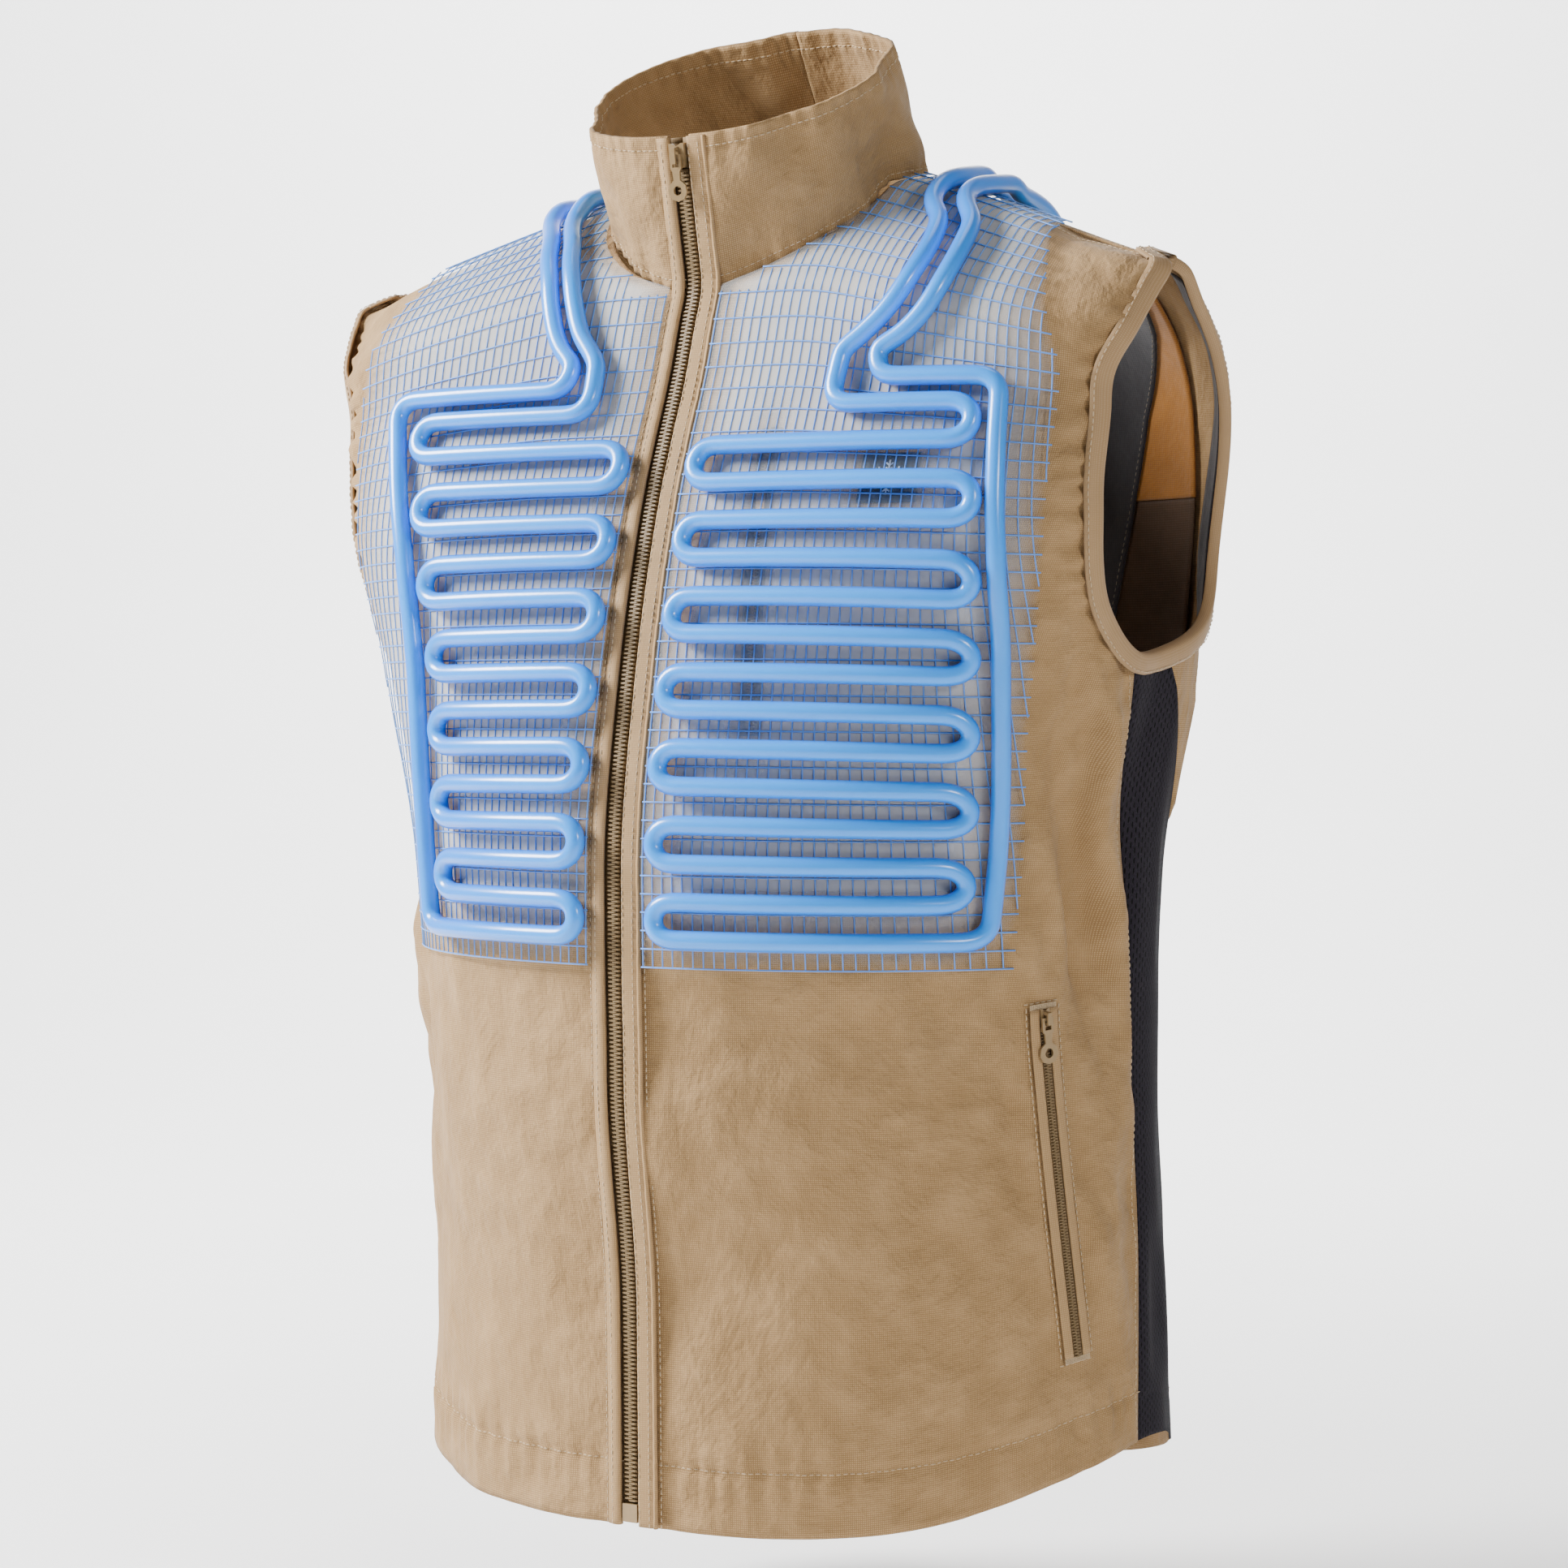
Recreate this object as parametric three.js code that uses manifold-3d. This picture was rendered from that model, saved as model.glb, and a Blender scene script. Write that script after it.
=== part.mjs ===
import * as THREE from 'three';
import { mergeVertices } from 'three/addons/utils/BufferGeometryUtils.js';
import Module from 'manifold-3d';

// A sleeveless zip-front work vest with cooling panels and coolant hoses on the chest.
// Millimetres, +Z up, the front faces -Y and the wearer's left is +X.
// The origin lies between the two neck points, where the collar meets the shoulders.

// Garment sizes
const garmentLength = 670;
const halfWidth = 200;
const frontDepth = 176;
const backDepth = 100;
const shoulderStart = 72;
const shoulderReach = 219;
const shoulderDrop = 54;
const shoulderForward = 46;
const hemRise = 38;
const hemRiseReach = 300;
const clothThickness = 1.2;
const foldDepth = 6;
const seamGap = 0.5;
const fitGap = 0.3;
const layerGap = 1.4;

// Neck and collar sizes
const neckHalfWidth = 78;
const neckFront = 102;
const neckBack = 46;
const neckSquare = 2.4;
const collarHalfWidth = 81;
const collarFront = 118;
const collarBack = -4;
const collarFrontTop = 11;
const collarBackTop = 78;
const collarSquare = 2.2;
const collarThickness = 2.2;
const collarBow = 1.5;

// Armhole sizes
const armholeHalfDepth = 71;
const armholeHalfHeight = 91;
const armholeCentre = -21;
const armholeLevel = -154;
const bindingWidth = 9;
const bindingThickness = 1.2;
const bindingGap = 1.9;
const bindingLip = 1.5;
const bindingTuck = 3;
const bindingBend = 0.45;
const facingWidth = 16;
const facingInset = 2.6;
const facingStart = 7.6;
const facingEnd = 14;
const facingSteps = 9;
const liningInset = 2.9;
const liningThickness = 0.8;
const liningHalfCentre = 112;
const liningSideWidth = 74;
const liningSplit = 165;
const liningTop = 62;
const liningBottom = 330;

// Shoulder seam, ahead of the shoulder ridge
const seamRise = 0.964;

// Front zip sizes
const zipOpening = 6;
const chainHalfWidth = 3.5;
const chainProud = 1;
const tapeWidth = 11;
const tapeThickness = 0.7;
const placketStart = 5;
const placketLeftEnd = 16;
const placketRightEnd = 12.5;
const placketGap = 0.7;
const placketThickness = 0.9;
const pipingHeight = 1.2;
const foldHeight = 2;
const zipTopMargin = 4;
const sliderLength = 12;
const sliderHalfWidth = 4.4;
const sliderProud = 3;
const retainerLength = 9;
const retainerHalf = 4.2;
const retainerProud = 1.6;
const chainShoulder = 0.6;
const pipingWidth = 2;
const pipingRound = 0.8;
const foldRound = 1.6;
const foldTail = 3;
const zipStart = 2;
const tapeInner = 0.15;

// Pull tab sizes, shared by both zips
const archHalfLength = 4.5;
const archThickness = 2.4;
const archWall = 1.2;
const archOpening = 2.25;
const archFloor = 0.35;
const barSize = 1.1;
const pullWindow = 5.6;
const pullLength = 17;
const pullThickness = 1.2;
const pullHalfWidth = 3.2;
const pullShank = 2.1;
const pullRing = 5.4;
const pullHole = 2.4;
const pullShoulder = 0.6;
const pullNeck = 2;
const pullPlay = 0.55;
const ringStart = 110;
const ringTurn = 320;
const ringSteps = 8;
const roundSteps = 5;
const archSink = 0.6;
const archTaper = 0.88;
const sliderTaper = 0.7;
const sliderNotch = 0.6;
const sliderWaist = 0.38;

// Cooling panel sizes
const coolingLift = 2.6;
const coolingThickness = 0.8;
const coolingLeftStart = 17;
const coolingRightStart = 13.5;
const coolingReach = 200;
const coolingBottom = 395;
const coolingNeckGap = 4;

// Coolant hose sizes
const hoseRadius = 4.75;
const hoseClearance = 1.6;
const hoseShoulderClearance = 3.1;
const hosePitch = 18;
const hoseRows = 15;
const firstRow = 129;
const returnRow = 116;
const hoseLeftInner = 26;
const hoseRightInner = 16;
const hoseReach = 184;
const hoseFall = 117;
const hoseBackClearance = 1.6;
const hoseCrest = 0.08;
const hoseSides = 5;
const hoseStep = 52;

// Hand pocket sizes
const pocketTop = 415;
const pocketBottom = 585;
const pocketTopForward = 76;
const pocketBottomForward = 57;
const pocketChainHalf = 2.3;
const pocketLipStart = 3;
const pocketLipEnd = 8;
const pocketLipThickness = 1.2;
const pocketGap = 1;
const pocketSliderLength = 9;
const pocketSliderHalf = 2.7;
const pocketSliderProud = 2.6;
const lipRound = 0.8;
const pocketTeethShoulder = 0.6;
const pocketTeethProud = 1.1;

// Chest pocket and control patch sizes
const chestZipTop = 136;
const chestZipBottom = 284;
const chestZipTopAcross = 61;
const chestZipBottomAcross = 70;
const chestZipHalf = 5.5;
const chestZipThickness = 0.6;
const chestZipGap = 0.4;
const chestPullStart = 0.18;
const chestPullLength = 22;
const chestPullHalf = 2.6;
const patchAcross = 129;
const patchLevel = 162;
const patchHalfWidth = 15;
const patchHalfHeight = 12;

// Level sections from hem to shoulder ridge, as shares of the garment sizes
const SECTIONS = [
  { height: 0.000, width: 1.015, front: 0.915, back: 1.34,
    frontSquare: 2.05, backSquare: 2.1, slope: 0.00, forward: 0.00 },
  { height: 0.164, width: 1.004, front: 0.925, back: 1.17,
    frontSquare: 2.05, backSquare: 2.1, slope: 0.00, forward: 0.00 },
  { height: 0.328, width: 0.988, front: 0.990, back: 1.00,
    frontSquare: 2.05, backSquare: 2.2, slope: 0.00, forward: 0.00 },
  { height: 0.478, width: 1.005, front: 1.000, back: 0.94,
    frontSquare: 2.15, backSquare: 2.3, slope: 0.00, forward: 0.00 },
  { height: 0.627, width: 1.090, front: 0.922, back: 1.02,
    frontSquare: 2.60, backSquare: 2.4, slope: 0.00, forward: 0.00 },
  { height: 0.746, width: 1.145, front: 0.806, back: 1.08,
    frontSquare: 3.80, backSquare: 2.5, slope: 0.10, forward: 0.03 },
  { height: 0.836, width: 1.170, front: 0.672, back: 1.03,
    frontSquare: 4.30, backSquare: 2.6, slope: 0.35, forward: 0.15 },
  { height: 0.910, width: 1.185, front: 0.570, back: 0.88,
    frontSquare: 4.30, backSquare: 2.8, slope: 0.65, forward: 0.45 },
  { height: 0.965, width: 1.190, front: 0.340, back: 0.58,
    frontSquare: 4.00, backSquare: 3.2, slope: 0.88, forward: 0.85 },
  { height: 0.991, width: 1.190, front: 0.190, back: 0.34,
    frontSquare: 4.00, backSquare: 3.6, slope: 0.97, forward: 0.97 },
  { height: 1.000, width: 1.190, front: 0.000, back: 0.00,
    frontSquare: 4.00, backSquare: 4.0, slope: 1.00, forward: 1.00 },
];

// Armhole outline in side view from its lowest point round the front, as shares of its half sizes
const ARMHOLE = [
  { forward: 0.34, up: -1.00 }, { forward: 0.72, up: -0.79 }, { forward: 0.92, up: -0.50 },
  { forward: 1.00, up: -0.13 }, { forward: 0.97, up: 0.25 }, { forward: 0.92, up: 0.57 },
  { forward: 0.62, up: 0.93 }, { forward: 0.35, up: 1.09 }, { forward: -0.06, up: 0.84 },
  { forward: -0.46, up: 0.56 }, { forward: -0.77, up: 0.23 }, { forward: -0.97, up: -0.13 },
  { forward: -0.95, up: -0.48 }, { forward: -0.68, up: -0.77 }, { forward: -0.18, up: -0.95 },
];
const BACK_SEAM_TURN = 14.1;

// Side panel seams, as shares of the half width behind the origin
const SIDE_SEAMS = [
  { height: 0.00, front: -0.07, back: 0.30 },
  { height: 0.20, front: -0.05, back: 0.29 },
  { height: 0.37, front: -0.07, back: 0.26 },
  { height: 0.52, front: -0.14, back: 0.15 },
  { height: 0.63, front: -0.23, back: 0.00 },
];

// Outer edge of the cooling panels, as shares of their reach
const COOLING_EDGE = [
  { height: 0.400, across: 0.855 },
  { height: 0.550, across: 0.905 },
  { height: 0.640, across: 0.950 },
  { height: 0.730, across: 0.995 },
  { height: 0.860, across: 1.015 },
  { height: 0.930, across: 0.970 },
  { height: 1.000, across: 0.890 },
];

// The two hose runs from shoulder to chest, as shares of the hose fall and reach
const HOSE_RUNS_LEFT = [
  { fall: 0.23, inner: 0.615, outer: 0.700 },
  { fall: 0.36, inner: 0.680, outer: 0.768 },
  { fall: 0.49, inner: 0.700, outer: 0.790 },
  { fall: 0.61, inner: 0.682, outer: 0.785 },
  { fall: 0.71, inner: 0.640, outer: 0.755 },
  { fall: 0.80, inner: 0.580, outer: 0.700 },
  { fall: 0.87, inner: 0.525, outer: 0.630 },
];
const HOSE_RUNS_RIGHT = [
  { fall: 0.23, inner: 0.522, outer: 0.606 },
  { fall: 0.38, inner: 0.437, outer: 0.518 },
  { fall: 0.50, inner: 0.388, outer: 0.462 },
  { fall: 0.62, inner: 0.350, outer: 0.427 },
  { fall: 0.74, inner: 0.312, outer: 0.393 },
  { fall: 0.82, inner: 0.270, outer: 0.358 },
  { fall: 0.88, inner: 0.240, outer: 0.316 },
];

// The hose runs behind the shoulder ridge, towards centre back
const HOSE_BACK = [
  { innerFall: 0.19, inner: 0.585, outerFall: 0.27, outer: 0.695 },
  { innerFall: 0.30, inner: 0.545, outerFall: 0.43, outer: 0.670 },
  { innerFall: 0.38, inner: 0.440, outerFall: 0.53, outer: 0.560 },
  { innerFall: 0.40, inner: 0.300, outerFall: 0.56, outer: 0.400 },
  { innerFall: 0.40, inner: 0.150, outerFall: 0.56, outer: 0.200 },
];

// How far out the hose rows turn back, as shares of the hose reach
const HOSE_TURNS_LEFT = [
  { row: 0.0, turn: 0.910, edge: 0.968 },
  { row: 0.2, turn: 0.935, edge: 0.983 },
  { row: 0.5, turn: 0.905, edge: 0.958 },
  { row: 1.0, turn: 0.845, edge: 0.888 },
];
const HOSE_TURNS_RIGHT = [
  { row: 0.0, turn: 0.815, edge: 0.915 },
  { row: 0.2, turn: 0.740, edge: 0.805 },
  { row: 0.5, turn: 0.641, edge: 0.722 },
  { row: 1.0, turn: 0.590, edge: 0.675 },
];

// Main folds and dents: place as shares of a half turn and of the length, depth as a share of the fold depth
const FOLDS = [
  { turn: 0.435, height: 0.500, length: 0.140, width: 0.030, lean: 8, depth: -0.9 },
  { turn: 0.385, height: 0.450, length: 0.080, width: 0.030, lean: 12, depth: 0.5 },
  { turn: 0.190, height: 0.360, length: 0.120, width: 0.026, lean: 88, depth: -0.6 },
  { turn: 0.140, height: 0.030, length: 0.080, width: 0.045, lean: 0, depth: 0.6 },
  { turn: 0.270, height: 0.020, length: 0.070, width: 0.045, lean: 0, depth: -0.6 },
  { turn: -0.430, height: 0.500, length: 0.150, width: 0.030, lean: -9, depth: -0.8 },
  { turn: -0.385, height: 0.440, length: 0.090, width: 0.030, lean: -12, depth: 0.6 },
  { turn: -0.180, height: 0.030, length: 0.080, width: 0.045, lean: 0, depth: 0.6 },
  { turn: 0.740, height: 0.370, length: 0.100, width: 0.045, lean: 40, depth: -1.1 },
  { turn: -0.720, height: 0.350, length: 0.100, width: 0.045, lean: -38, depth: -1.1 },
  { turn: 0.860, height: 0.300, length: 0.100, width: 0.040, lean: 52, depth: 0.9 },
  { turn: -0.880, height: 0.240, length: 0.100, width: 0.040, lean: -48, depth: 0.9 },
  { turn: 0.700, height: 0.060, length: 0.110, width: 0.045, lean: 0, depth: 0.9 },
  { turn: -0.720, height: 0.070, length: 0.110, width: 0.045, lean: 0, depth: 0.9 },
];

// Soft dents of the collar, round its length and up its height
const COLLAR_DENTS = [
  { round: 0.20, up: 0.45, spread: 0.030, depth: -0.60 },
  { round: 0.14, up: 0.60, spread: 0.025, depth: 0.45 },
  { round: 0.27, up: 0.55, spread: 0.030, depth: 0.45 },
  { round: 0.80, up: 0.50, spread: 0.030, depth: -0.50 },
  { round: 0.55, up: 0.50, spread: 0.045, depth: -0.35 },
];
const collarDentDepth = 5;
const collarDentReach = 0.5;

// Mesh density
const frontColumns = 10;
const lowerRows = 8;
const armholeFrontSteps = 12;
const armholeBackSteps = 14;
const neckSteps = 6;
const backColumns = 7;
const sideColumns = 3;
const coolingColumns = 7;
const collarRows = 3;
const minRowStep = 0.006;
const riseGap = 0.0012;
const armholeStride = 3;

const wasm = await Module();
wasm.setup();

const { lerp, clamp, degToRad } = THREE.MathUtils;
const vector = (x, y, z) => new THREE.Vector3(x, y, z);

// A smooth curve through the rows of a table, without overshoot
function through(rows, key) {
  const columns = Object.keys(rows[0]).filter((column) => column !== key);
  const at = rows.map((row, i) => (key ? row[key] : i / (rows.length - 1)));
  const slopes = columns.map((column) => rows.map((row, i) => {
    const steep = (a, b) => (rows[b][column] - rows[a][column]) / (at[b] - at[a]);
    if (i === 0) return steep(0, 1);
    if (i === rows.length - 1) return steep(i - 1, i);
    const before = steep(i - 1, i);
    const after = steep(i, i + 1);
    return before * after > 0 ? (2 * before * after) / (before + after) : 0;
  }));
  return (value) => {
    let i = 0;
    while (i < at.length - 2 && value > at[i + 1]) i += 1;
    const span = at[i + 1] - at[i];
    const u = clamp((value - at[i]) / span, 0, 1);
    const result = {};
    columns.forEach((column, c) => {
      result[column] = (2 * u ** 3 - 3 * u ** 2 + 1) * rows[i][column]
        + (u ** 3 - 2 * u ** 2 + u) * span * slopes[c][i]
        + (-2 * u ** 3 + 3 * u ** 2) * rows[i + 1][column]
        + (u ** 3 - u ** 2) * span * slopes[c][i + 1];
    });
    return result;
  };
}

// The value between low and high where a rising function crosses zero
function solve(low, high, rising) {
  let a = low;
  let b = high;
  for (let i = 0; i < 36; i += 1) {
    const middle = (a + b) / 2;
    if (rising(middle) > 0) b = middle; else a = middle;
  }
  return (a + b) / 2;
}

const section = through(SECTIONS);
const seams = through(SIDE_SEAMS, 'height');
const coolingEdge = through(COOLING_EDGE, 'height');

// How far a point lies out along the shoulder, with a rounded start
function alongShoulder(across) {
  const share = (across - shoulderStart) / (shoulderReach - shoulderStart);
  return (share + Math.hypot(share, 0.1)) / 2 - 0.05;
}

// The smooth body surface: angle is 0 at centre front and half a turn at centre back,
// rise runs from hem to shoulder ridge, and past 1 it comes down the other side
function body(angle, rise) {
  if (rise > 1) return body(Math.sign(angle || 1) * Math.PI - angle, 2 - rise);
  const row = section(rise);
  const front = Math.cos(angle) >= 0;
  const square = front ? row.frontSquare : row.backSquare;
  const sine = Math.abs(Math.sin(angle));
  const cosine = Math.abs(Math.cos(angle));
  const spread = (sine ** square + cosine ** square) ** (1 / square);
  const across = row.width * halfWidth * (sine / spread);
  const out = alongShoulder(across);
  const depth = front ? -row.front * frontDepth : row.back * backDepth;
  const level = row.height * garmentLength;
  const lift = hemRise * (sine / spread) ** 5 * Math.max(0, 1 - level / hemRiseReach) ** 2;
  return vector(
    Math.sign(Math.sin(angle)) * across,
    depth * (cosine / spread) - row.forward * shoulderForward * out,
    level - garmentLength - row.slope * shoulderDrop * out + lift,
  );
}

// The folds' height above the smooth surface
function relief(angle, rise) {
  const over = rise > 1;
  const turn = (over ? Math.sign(angle || 1) * Math.PI - angle : angle) / Math.PI;
  const level = section(over ? 2 - rise : rise).height;
  return FOLDS.reduce((sum, fold) => {
    const apart = turn - fold.turn;
    const u = (apart - 2 * Math.round(apart / 2)) * Math.PI * halfWidth;
    const v = (level - fold.height) * garmentLength;
    const lean = degToRad(fold.lean);
    const along = (v * Math.cos(lean) + u * Math.sin(lean)) / (fold.length * garmentLength);
    const beside = (u * Math.cos(lean) - v * Math.sin(lean)) / (fold.width * garmentLength);
    return sum + fold.depth * foldDepth * Math.exp(-along * along - beside * beside);
  }, 0);
}

// A point of the cloth with its outward direction
function cloth(spot, lift = 0) {
  const { angle, rise } = spot;
  const sideways = body(angle + 0.004, rise).sub(body(angle - 0.004, rise));
  const upward = body(angle, Math.min(rise + 0.003, 2)).sub(body(angle, Math.max(rise - 0.003, 0)));
  const normal = sideways.cross(upward).normalize();
  const point = body(angle, rise).addScaledVector(normal, relief(angle, rise) + lift);
  return { point, normal };
}

// Places on the surface found from their coordinates, on the wearer's left
function angleAcross(across, rise, front = true) {
  const row = section(rise);
  const square = front ? row.frontSquare : row.backSquare;
  const share = clamp(across / (row.width * halfWidth), 0, 0.9999);
  const angle = Math.atan2(share, (1 - share ** square) ** (1 / square));
  return front ? angle : Math.PI - angle;
}

function angleBehind(behind, rise) {
  return solve(0, Math.PI, (angle) => body(angle, rise).y - behind);
}

function spotBehind(behind, level) {
  const riseAt = (angle) => solve(0, 1, (rise) => body(angle, rise).z - level);
  const angle = solve(0, Math.PI, (trial) => body(trial, riseAt(trial)).y - behind);
  return { angle, rise: riseAt(angle) };
}

function spotAcross(across, level, front = true) {
  const rise = solve(0, 1, (trial) => body(angleAcross(across, trial, front), trial).z - level);
  return { angle: angleAcross(across, rise, front), rise };
}

// The armhole edge: turn counts the rows of its table
function armholeEdge(turn) {
  const count = ARMHOLE.length;
  const at = (turn % count + count) % count;
  const i = Math.floor(at);
  const u = at - i;
  const rows = [-1, 0, 1, 2].map((step) => ARMHOLE[(i + step + count) % count]);
  const blend = (column) => {
    const [a, b, c, d] = rows.map((row) => row[column]);
    return b + 0.5 * u * (c - a + u * (2 * a - 5 * b + 4 * c - d + u * (3 * (b - c) + d - a)));
  };
  return spotBehind(armholeCentre - blend('forward') * armholeHalfDepth,
    armholeLevel + blend('up') * armholeHalfHeight);
}

// A spot moved over the surface by a small shift, and past the ridge onto the other side
function moved({ angle, rise }, shift) {
  const step = 0.002;
  const a = body(angle + step, rise).sub(body(angle - step, rise)).divideScalar(2 * step);
  const b = body(angle, rise + step).sub(body(angle, rise - step)).divideScalar(2 * step);
  const [aa, ab, bb, as, bs] = [a.dot(a), a.dot(b), b.dot(b), a.dot(shift), b.dot(shift)];
  const area = aa * bb - ab * ab;
  const spot = { angle: angle + (as * bb - bs * ab) / area, rise: rise + (bs * aa - as * ab) / area };
  return spot.rise > 1 ? { angle: Math.PI - spot.angle, rise: 2 - spot.rise } : spot;
}

// A spot a given distance over the cloth from the armhole edge, away from the opening
function armhole(turn, away = 0) {
  const along = body(...Object.values(armholeEdge(turn + 0.02)))
    .sub(body(...Object.values(armholeEdge(turn - 0.02)))).normalize();
  const strides = Math.ceil(away / armholeStride);
  let spot = armholeEdge(turn);
  for (let i = 0; i < strides; i += 1) {
    spot = moved(spot, cloth(spot).normal.cross(along).setLength(away / strides));
  }
  return spot;
}

// Armhole turns where the shoulder seam and the two side seams meet it
const seamTurn = solve(5.5, 7.5, (turn) => {
  const { angle, rise } = armhole(turn, bindingTuck);
  return (angle < Math.PI / 2 ? rise : 2 - rise) - seamRise;
});
const steps = (from, to, count) => Array.from({ length: count + 1 }, (_, i) => lerp(from, to, i / count));
const frontTurns = steps(0, seamTurn, armholeFrontSteps);
const backTurns = steps(seamTurn, BACK_SEAM_TURN, armholeBackSteps);
const sideTurns = steps(BACK_SEAM_TURN, ARMHOLE.length, sideColumns);
const [frontArm, backArm, sideArm] = [frontTurns, backTurns, sideTurns].map((turns) => (
  turns.map((turn) => armhole(turn, bindingTuck))));

// Rise counted up the back and over the ridge
const overRidge = (spot) => (spot.angle < Math.PI / 2 && spot.rise > seamRise - minRowStep
  ? 2 - spot.rise : spot.rise);

// The edge at the armhole for a given rise, between its sampled spots
function armEdge(samples, rise, riseOf) {
  const ordered = [...samples].sort((a, b) => riseOf(a) - riseOf(b));
  let i = 0;
  while (i < ordered.length - 2 && rise > riseOf(ordered[i + 1])) i += 1;
  const low = riseOf(ordered[i]);
  const high = riseOf(ordered[i + 1]);
  return lerp(ordered[i].angle, ordered[i + 1].angle, clamp((rise - low) / (high - low), 0, 1));
}

// A side seam's angle, bent to meet the armhole at its end
function seamAngle(column, rise, end) {
  const plain = (at) => angleBehind(seams(section(at).height)[column] * halfWidth, at);
  return plain(rise) + (end.angle - plain(end.rise)) * (rise / end.rise) ** 4;
}

// The neckline: an upright oval round the neck, cut into the surface
function neckOval(turn) {
  const sine = Math.abs(Math.sin(turn));
  const cosine = Math.abs(Math.cos(turn));
  const spread = (sine ** neckSquare + cosine ** neckSquare) ** (1 / neckSquare);
  const middle = (neckBack - neckFront) / 2;
  const reach = (neckBack + neckFront) / 2;
  const behind = middle - reach * Math.sign(Math.cos(turn)) * cosine / spread;
  return { across: neckHalfWidth * sine / spread, behind };
}

// The neckline's spot at a given rise, counted from the front over the ridge
function neckAt(rise) {
  const front = rise <= 1;
  const level = front ? rise : 2 - rise;
  const behind = (turn) => body(angleAcross(neckOval(turn).across, level, front), level).y;
  const turn = solve(0, Math.PI, (trial) => neckOval(trial).behind - behind(trial));
  return { angle: angleAcross(neckOval(turn).across, level, front), rise: level, turn };
}

function neckRise(turn) {
  const { across, behind } = neckOval(turn);
  return solve(0.5, 1.5, (rise) => {
    const level = rise <= 1 ? rise : 2 - rise;
    return body(angleAcross(across, level, rise <= 1), level).y - behind;
  });
}

const neckFrontTurn = solve(0, 1, (turn) => neckOval(turn).across - zipOpening);
const neckSeamTurn = solve(0, Math.PI, (turn) => neckRise(turn) - seamRise);
const neckFrontRises = steps(neckFrontTurn, neckSeamTurn, neckSteps).map(neckRise);
const neckBackRises = steps(neckSeamTurn, Math.PI, neckSteps).map(neckRise);

// Rises of both lists in order, leaving out those of the second that come too near another
function rowsOf(kept, extra) {
  const rows = [...kept];
  extra.forEach((rise) => {
    if (rows.every((other) => Math.abs(other - rise) > minRowStep)) rows.push(rise);
  });
  return rows.sort((a, b) => a - b);
}

// A grid of spots, one row at each rise, between two edges
function grid(rises, columns, innerOf, outerOf) {
  return rises.map((rise) => steps(innerOf(rise), outerOf(rise), columns).map((angle) => ({ angle, rise })));
}

const inset = seamGap / 2 / halfWidth;

// Closed solid from rings of points, each ring joined to the next
function solid(points, triangles) {
  const geometry = new THREE.BufferGeometry();
  const numbers = points.flatMap((p) => [p.x, p.y, p.z]);
  geometry.setAttribute('position', new THREE.Float32BufferAttribute(numbers, 3));
  let volume = 0;
  for (let i = 0; i < triangles.length; i += 3) {
    const [a, b, c] = [0, 1, 2].map((k) => points[triangles[i + k]]);
    volume += a.dot(b.clone().cross(c));
  }
  geometry.setIndex(volume > 0 ? triangles : [...triangles].reverse());
  return geometry;
}

// Cloth from patches of points with normals: welded, thickened inward and closed round its rim
function sheet(patches, thickness) {
  const index = new Map();
  const outer = [];
  const inner = [];
  const number = ({ point, normal }) => {
    const key = [point.x, point.y, point.z].map((value) => Math.round(value * 1000)).join();
    if (!index.has(key)) {
      index.set(key, outer.length);
      outer.push(point);
      inner.push(point.clone().addScaledVector(normal, -thickness));
    }
    return index.get(key);
  };
  const faces = [];
  patches.forEach((patch) => {
    const ids = patch.map((row) => row.map(number));
    for (let i = 0; i < ids.length - 1; i += 1) {
      for (let j = 0; j < ids[i].length - 1; j += 1) {
        const [a, b, c, d] = [ids[i][j], ids[i][j + 1], ids[i + 1][j + 1], ids[i + 1][j]];
        const even = outer[a].distanceTo(outer[c]) < outer[b].distanceTo(outer[d]);
        (even ? [[a, b, c], [a, c, d]] : [[a, b, d], [b, c, d]]).forEach((face) => {
          if (new Set(face).size === 3) faces.push(face);
        });
      }
    }
  });
  const count = outer.length;
  const edges = new Set(faces.flatMap(([a, b, c]) => [`${a},${b}`, `${b},${c}`, `${c},${a}`]));
  const triangles = faces.flatMap(([a, b, c]) => [a, b, c, a + count, c + count, b + count]);
  edges.forEach((edge) => {
    const [a, b] = edge.split(',').map(Number);
    if (!edges.has(`${b},${a}`)) triangles.push(a, a + count, b, b, a + count, b + count);
  });
  return solid([...outer, ...inner], triangles);
}

// Rings of points joined into one solid, capped at the ends unless closed
function loft(rings, closed = false) {
  const size = rings[0].length;
  const triangles = [];
  const last = closed ? rings.length : rings.length - 1;
  for (let i = 0; i < last; i += 1) {
    const next = (i + 1) % rings.length;
    for (let j = 0; j < size; j += 1) {
      const k = (j + 1) % size;
      triangles.push(i * size + j, i * size + k, next * size + k);
      triangles.push(i * size + j, next * size + k, next * size + j);
    }
  }
  if (!closed) {
    const cap = (ring, flip) => {
      const middle = ring.reduce((sum, p) => sum.add(p), vector(0, 0, 0)).divideScalar(size);
      const normal = ring.reduce((sum, p, j) => sum.add(
        p.clone().sub(middle).cross(ring[(j + 1) % size].clone().sub(middle))), vector(0, 0, 0)).normalize();
      const u = ring[1].clone().sub(ring[0]).normalize();
      const v = normal.clone().cross(u);
      const flat = ring.map((p) => p.clone().sub(middle)).map((p) => new THREE.Vector2(p.dot(u), p.dot(v)));
      const base = flip ? 0 : (rings.length - 1) * size;
      THREE.ShapeUtils.triangulateShape(flat, []).forEach(([a, b, c]) => {
        triangles.push(...(flip ? [base + a, base + c, base + b] : [base + a, base + b, base + c]));
      });
    };
    cap(rings[0], true);
    cap(rings[rings.length - 1], false);
  }
  return solid(rings.flat(), triangles);
}

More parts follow.
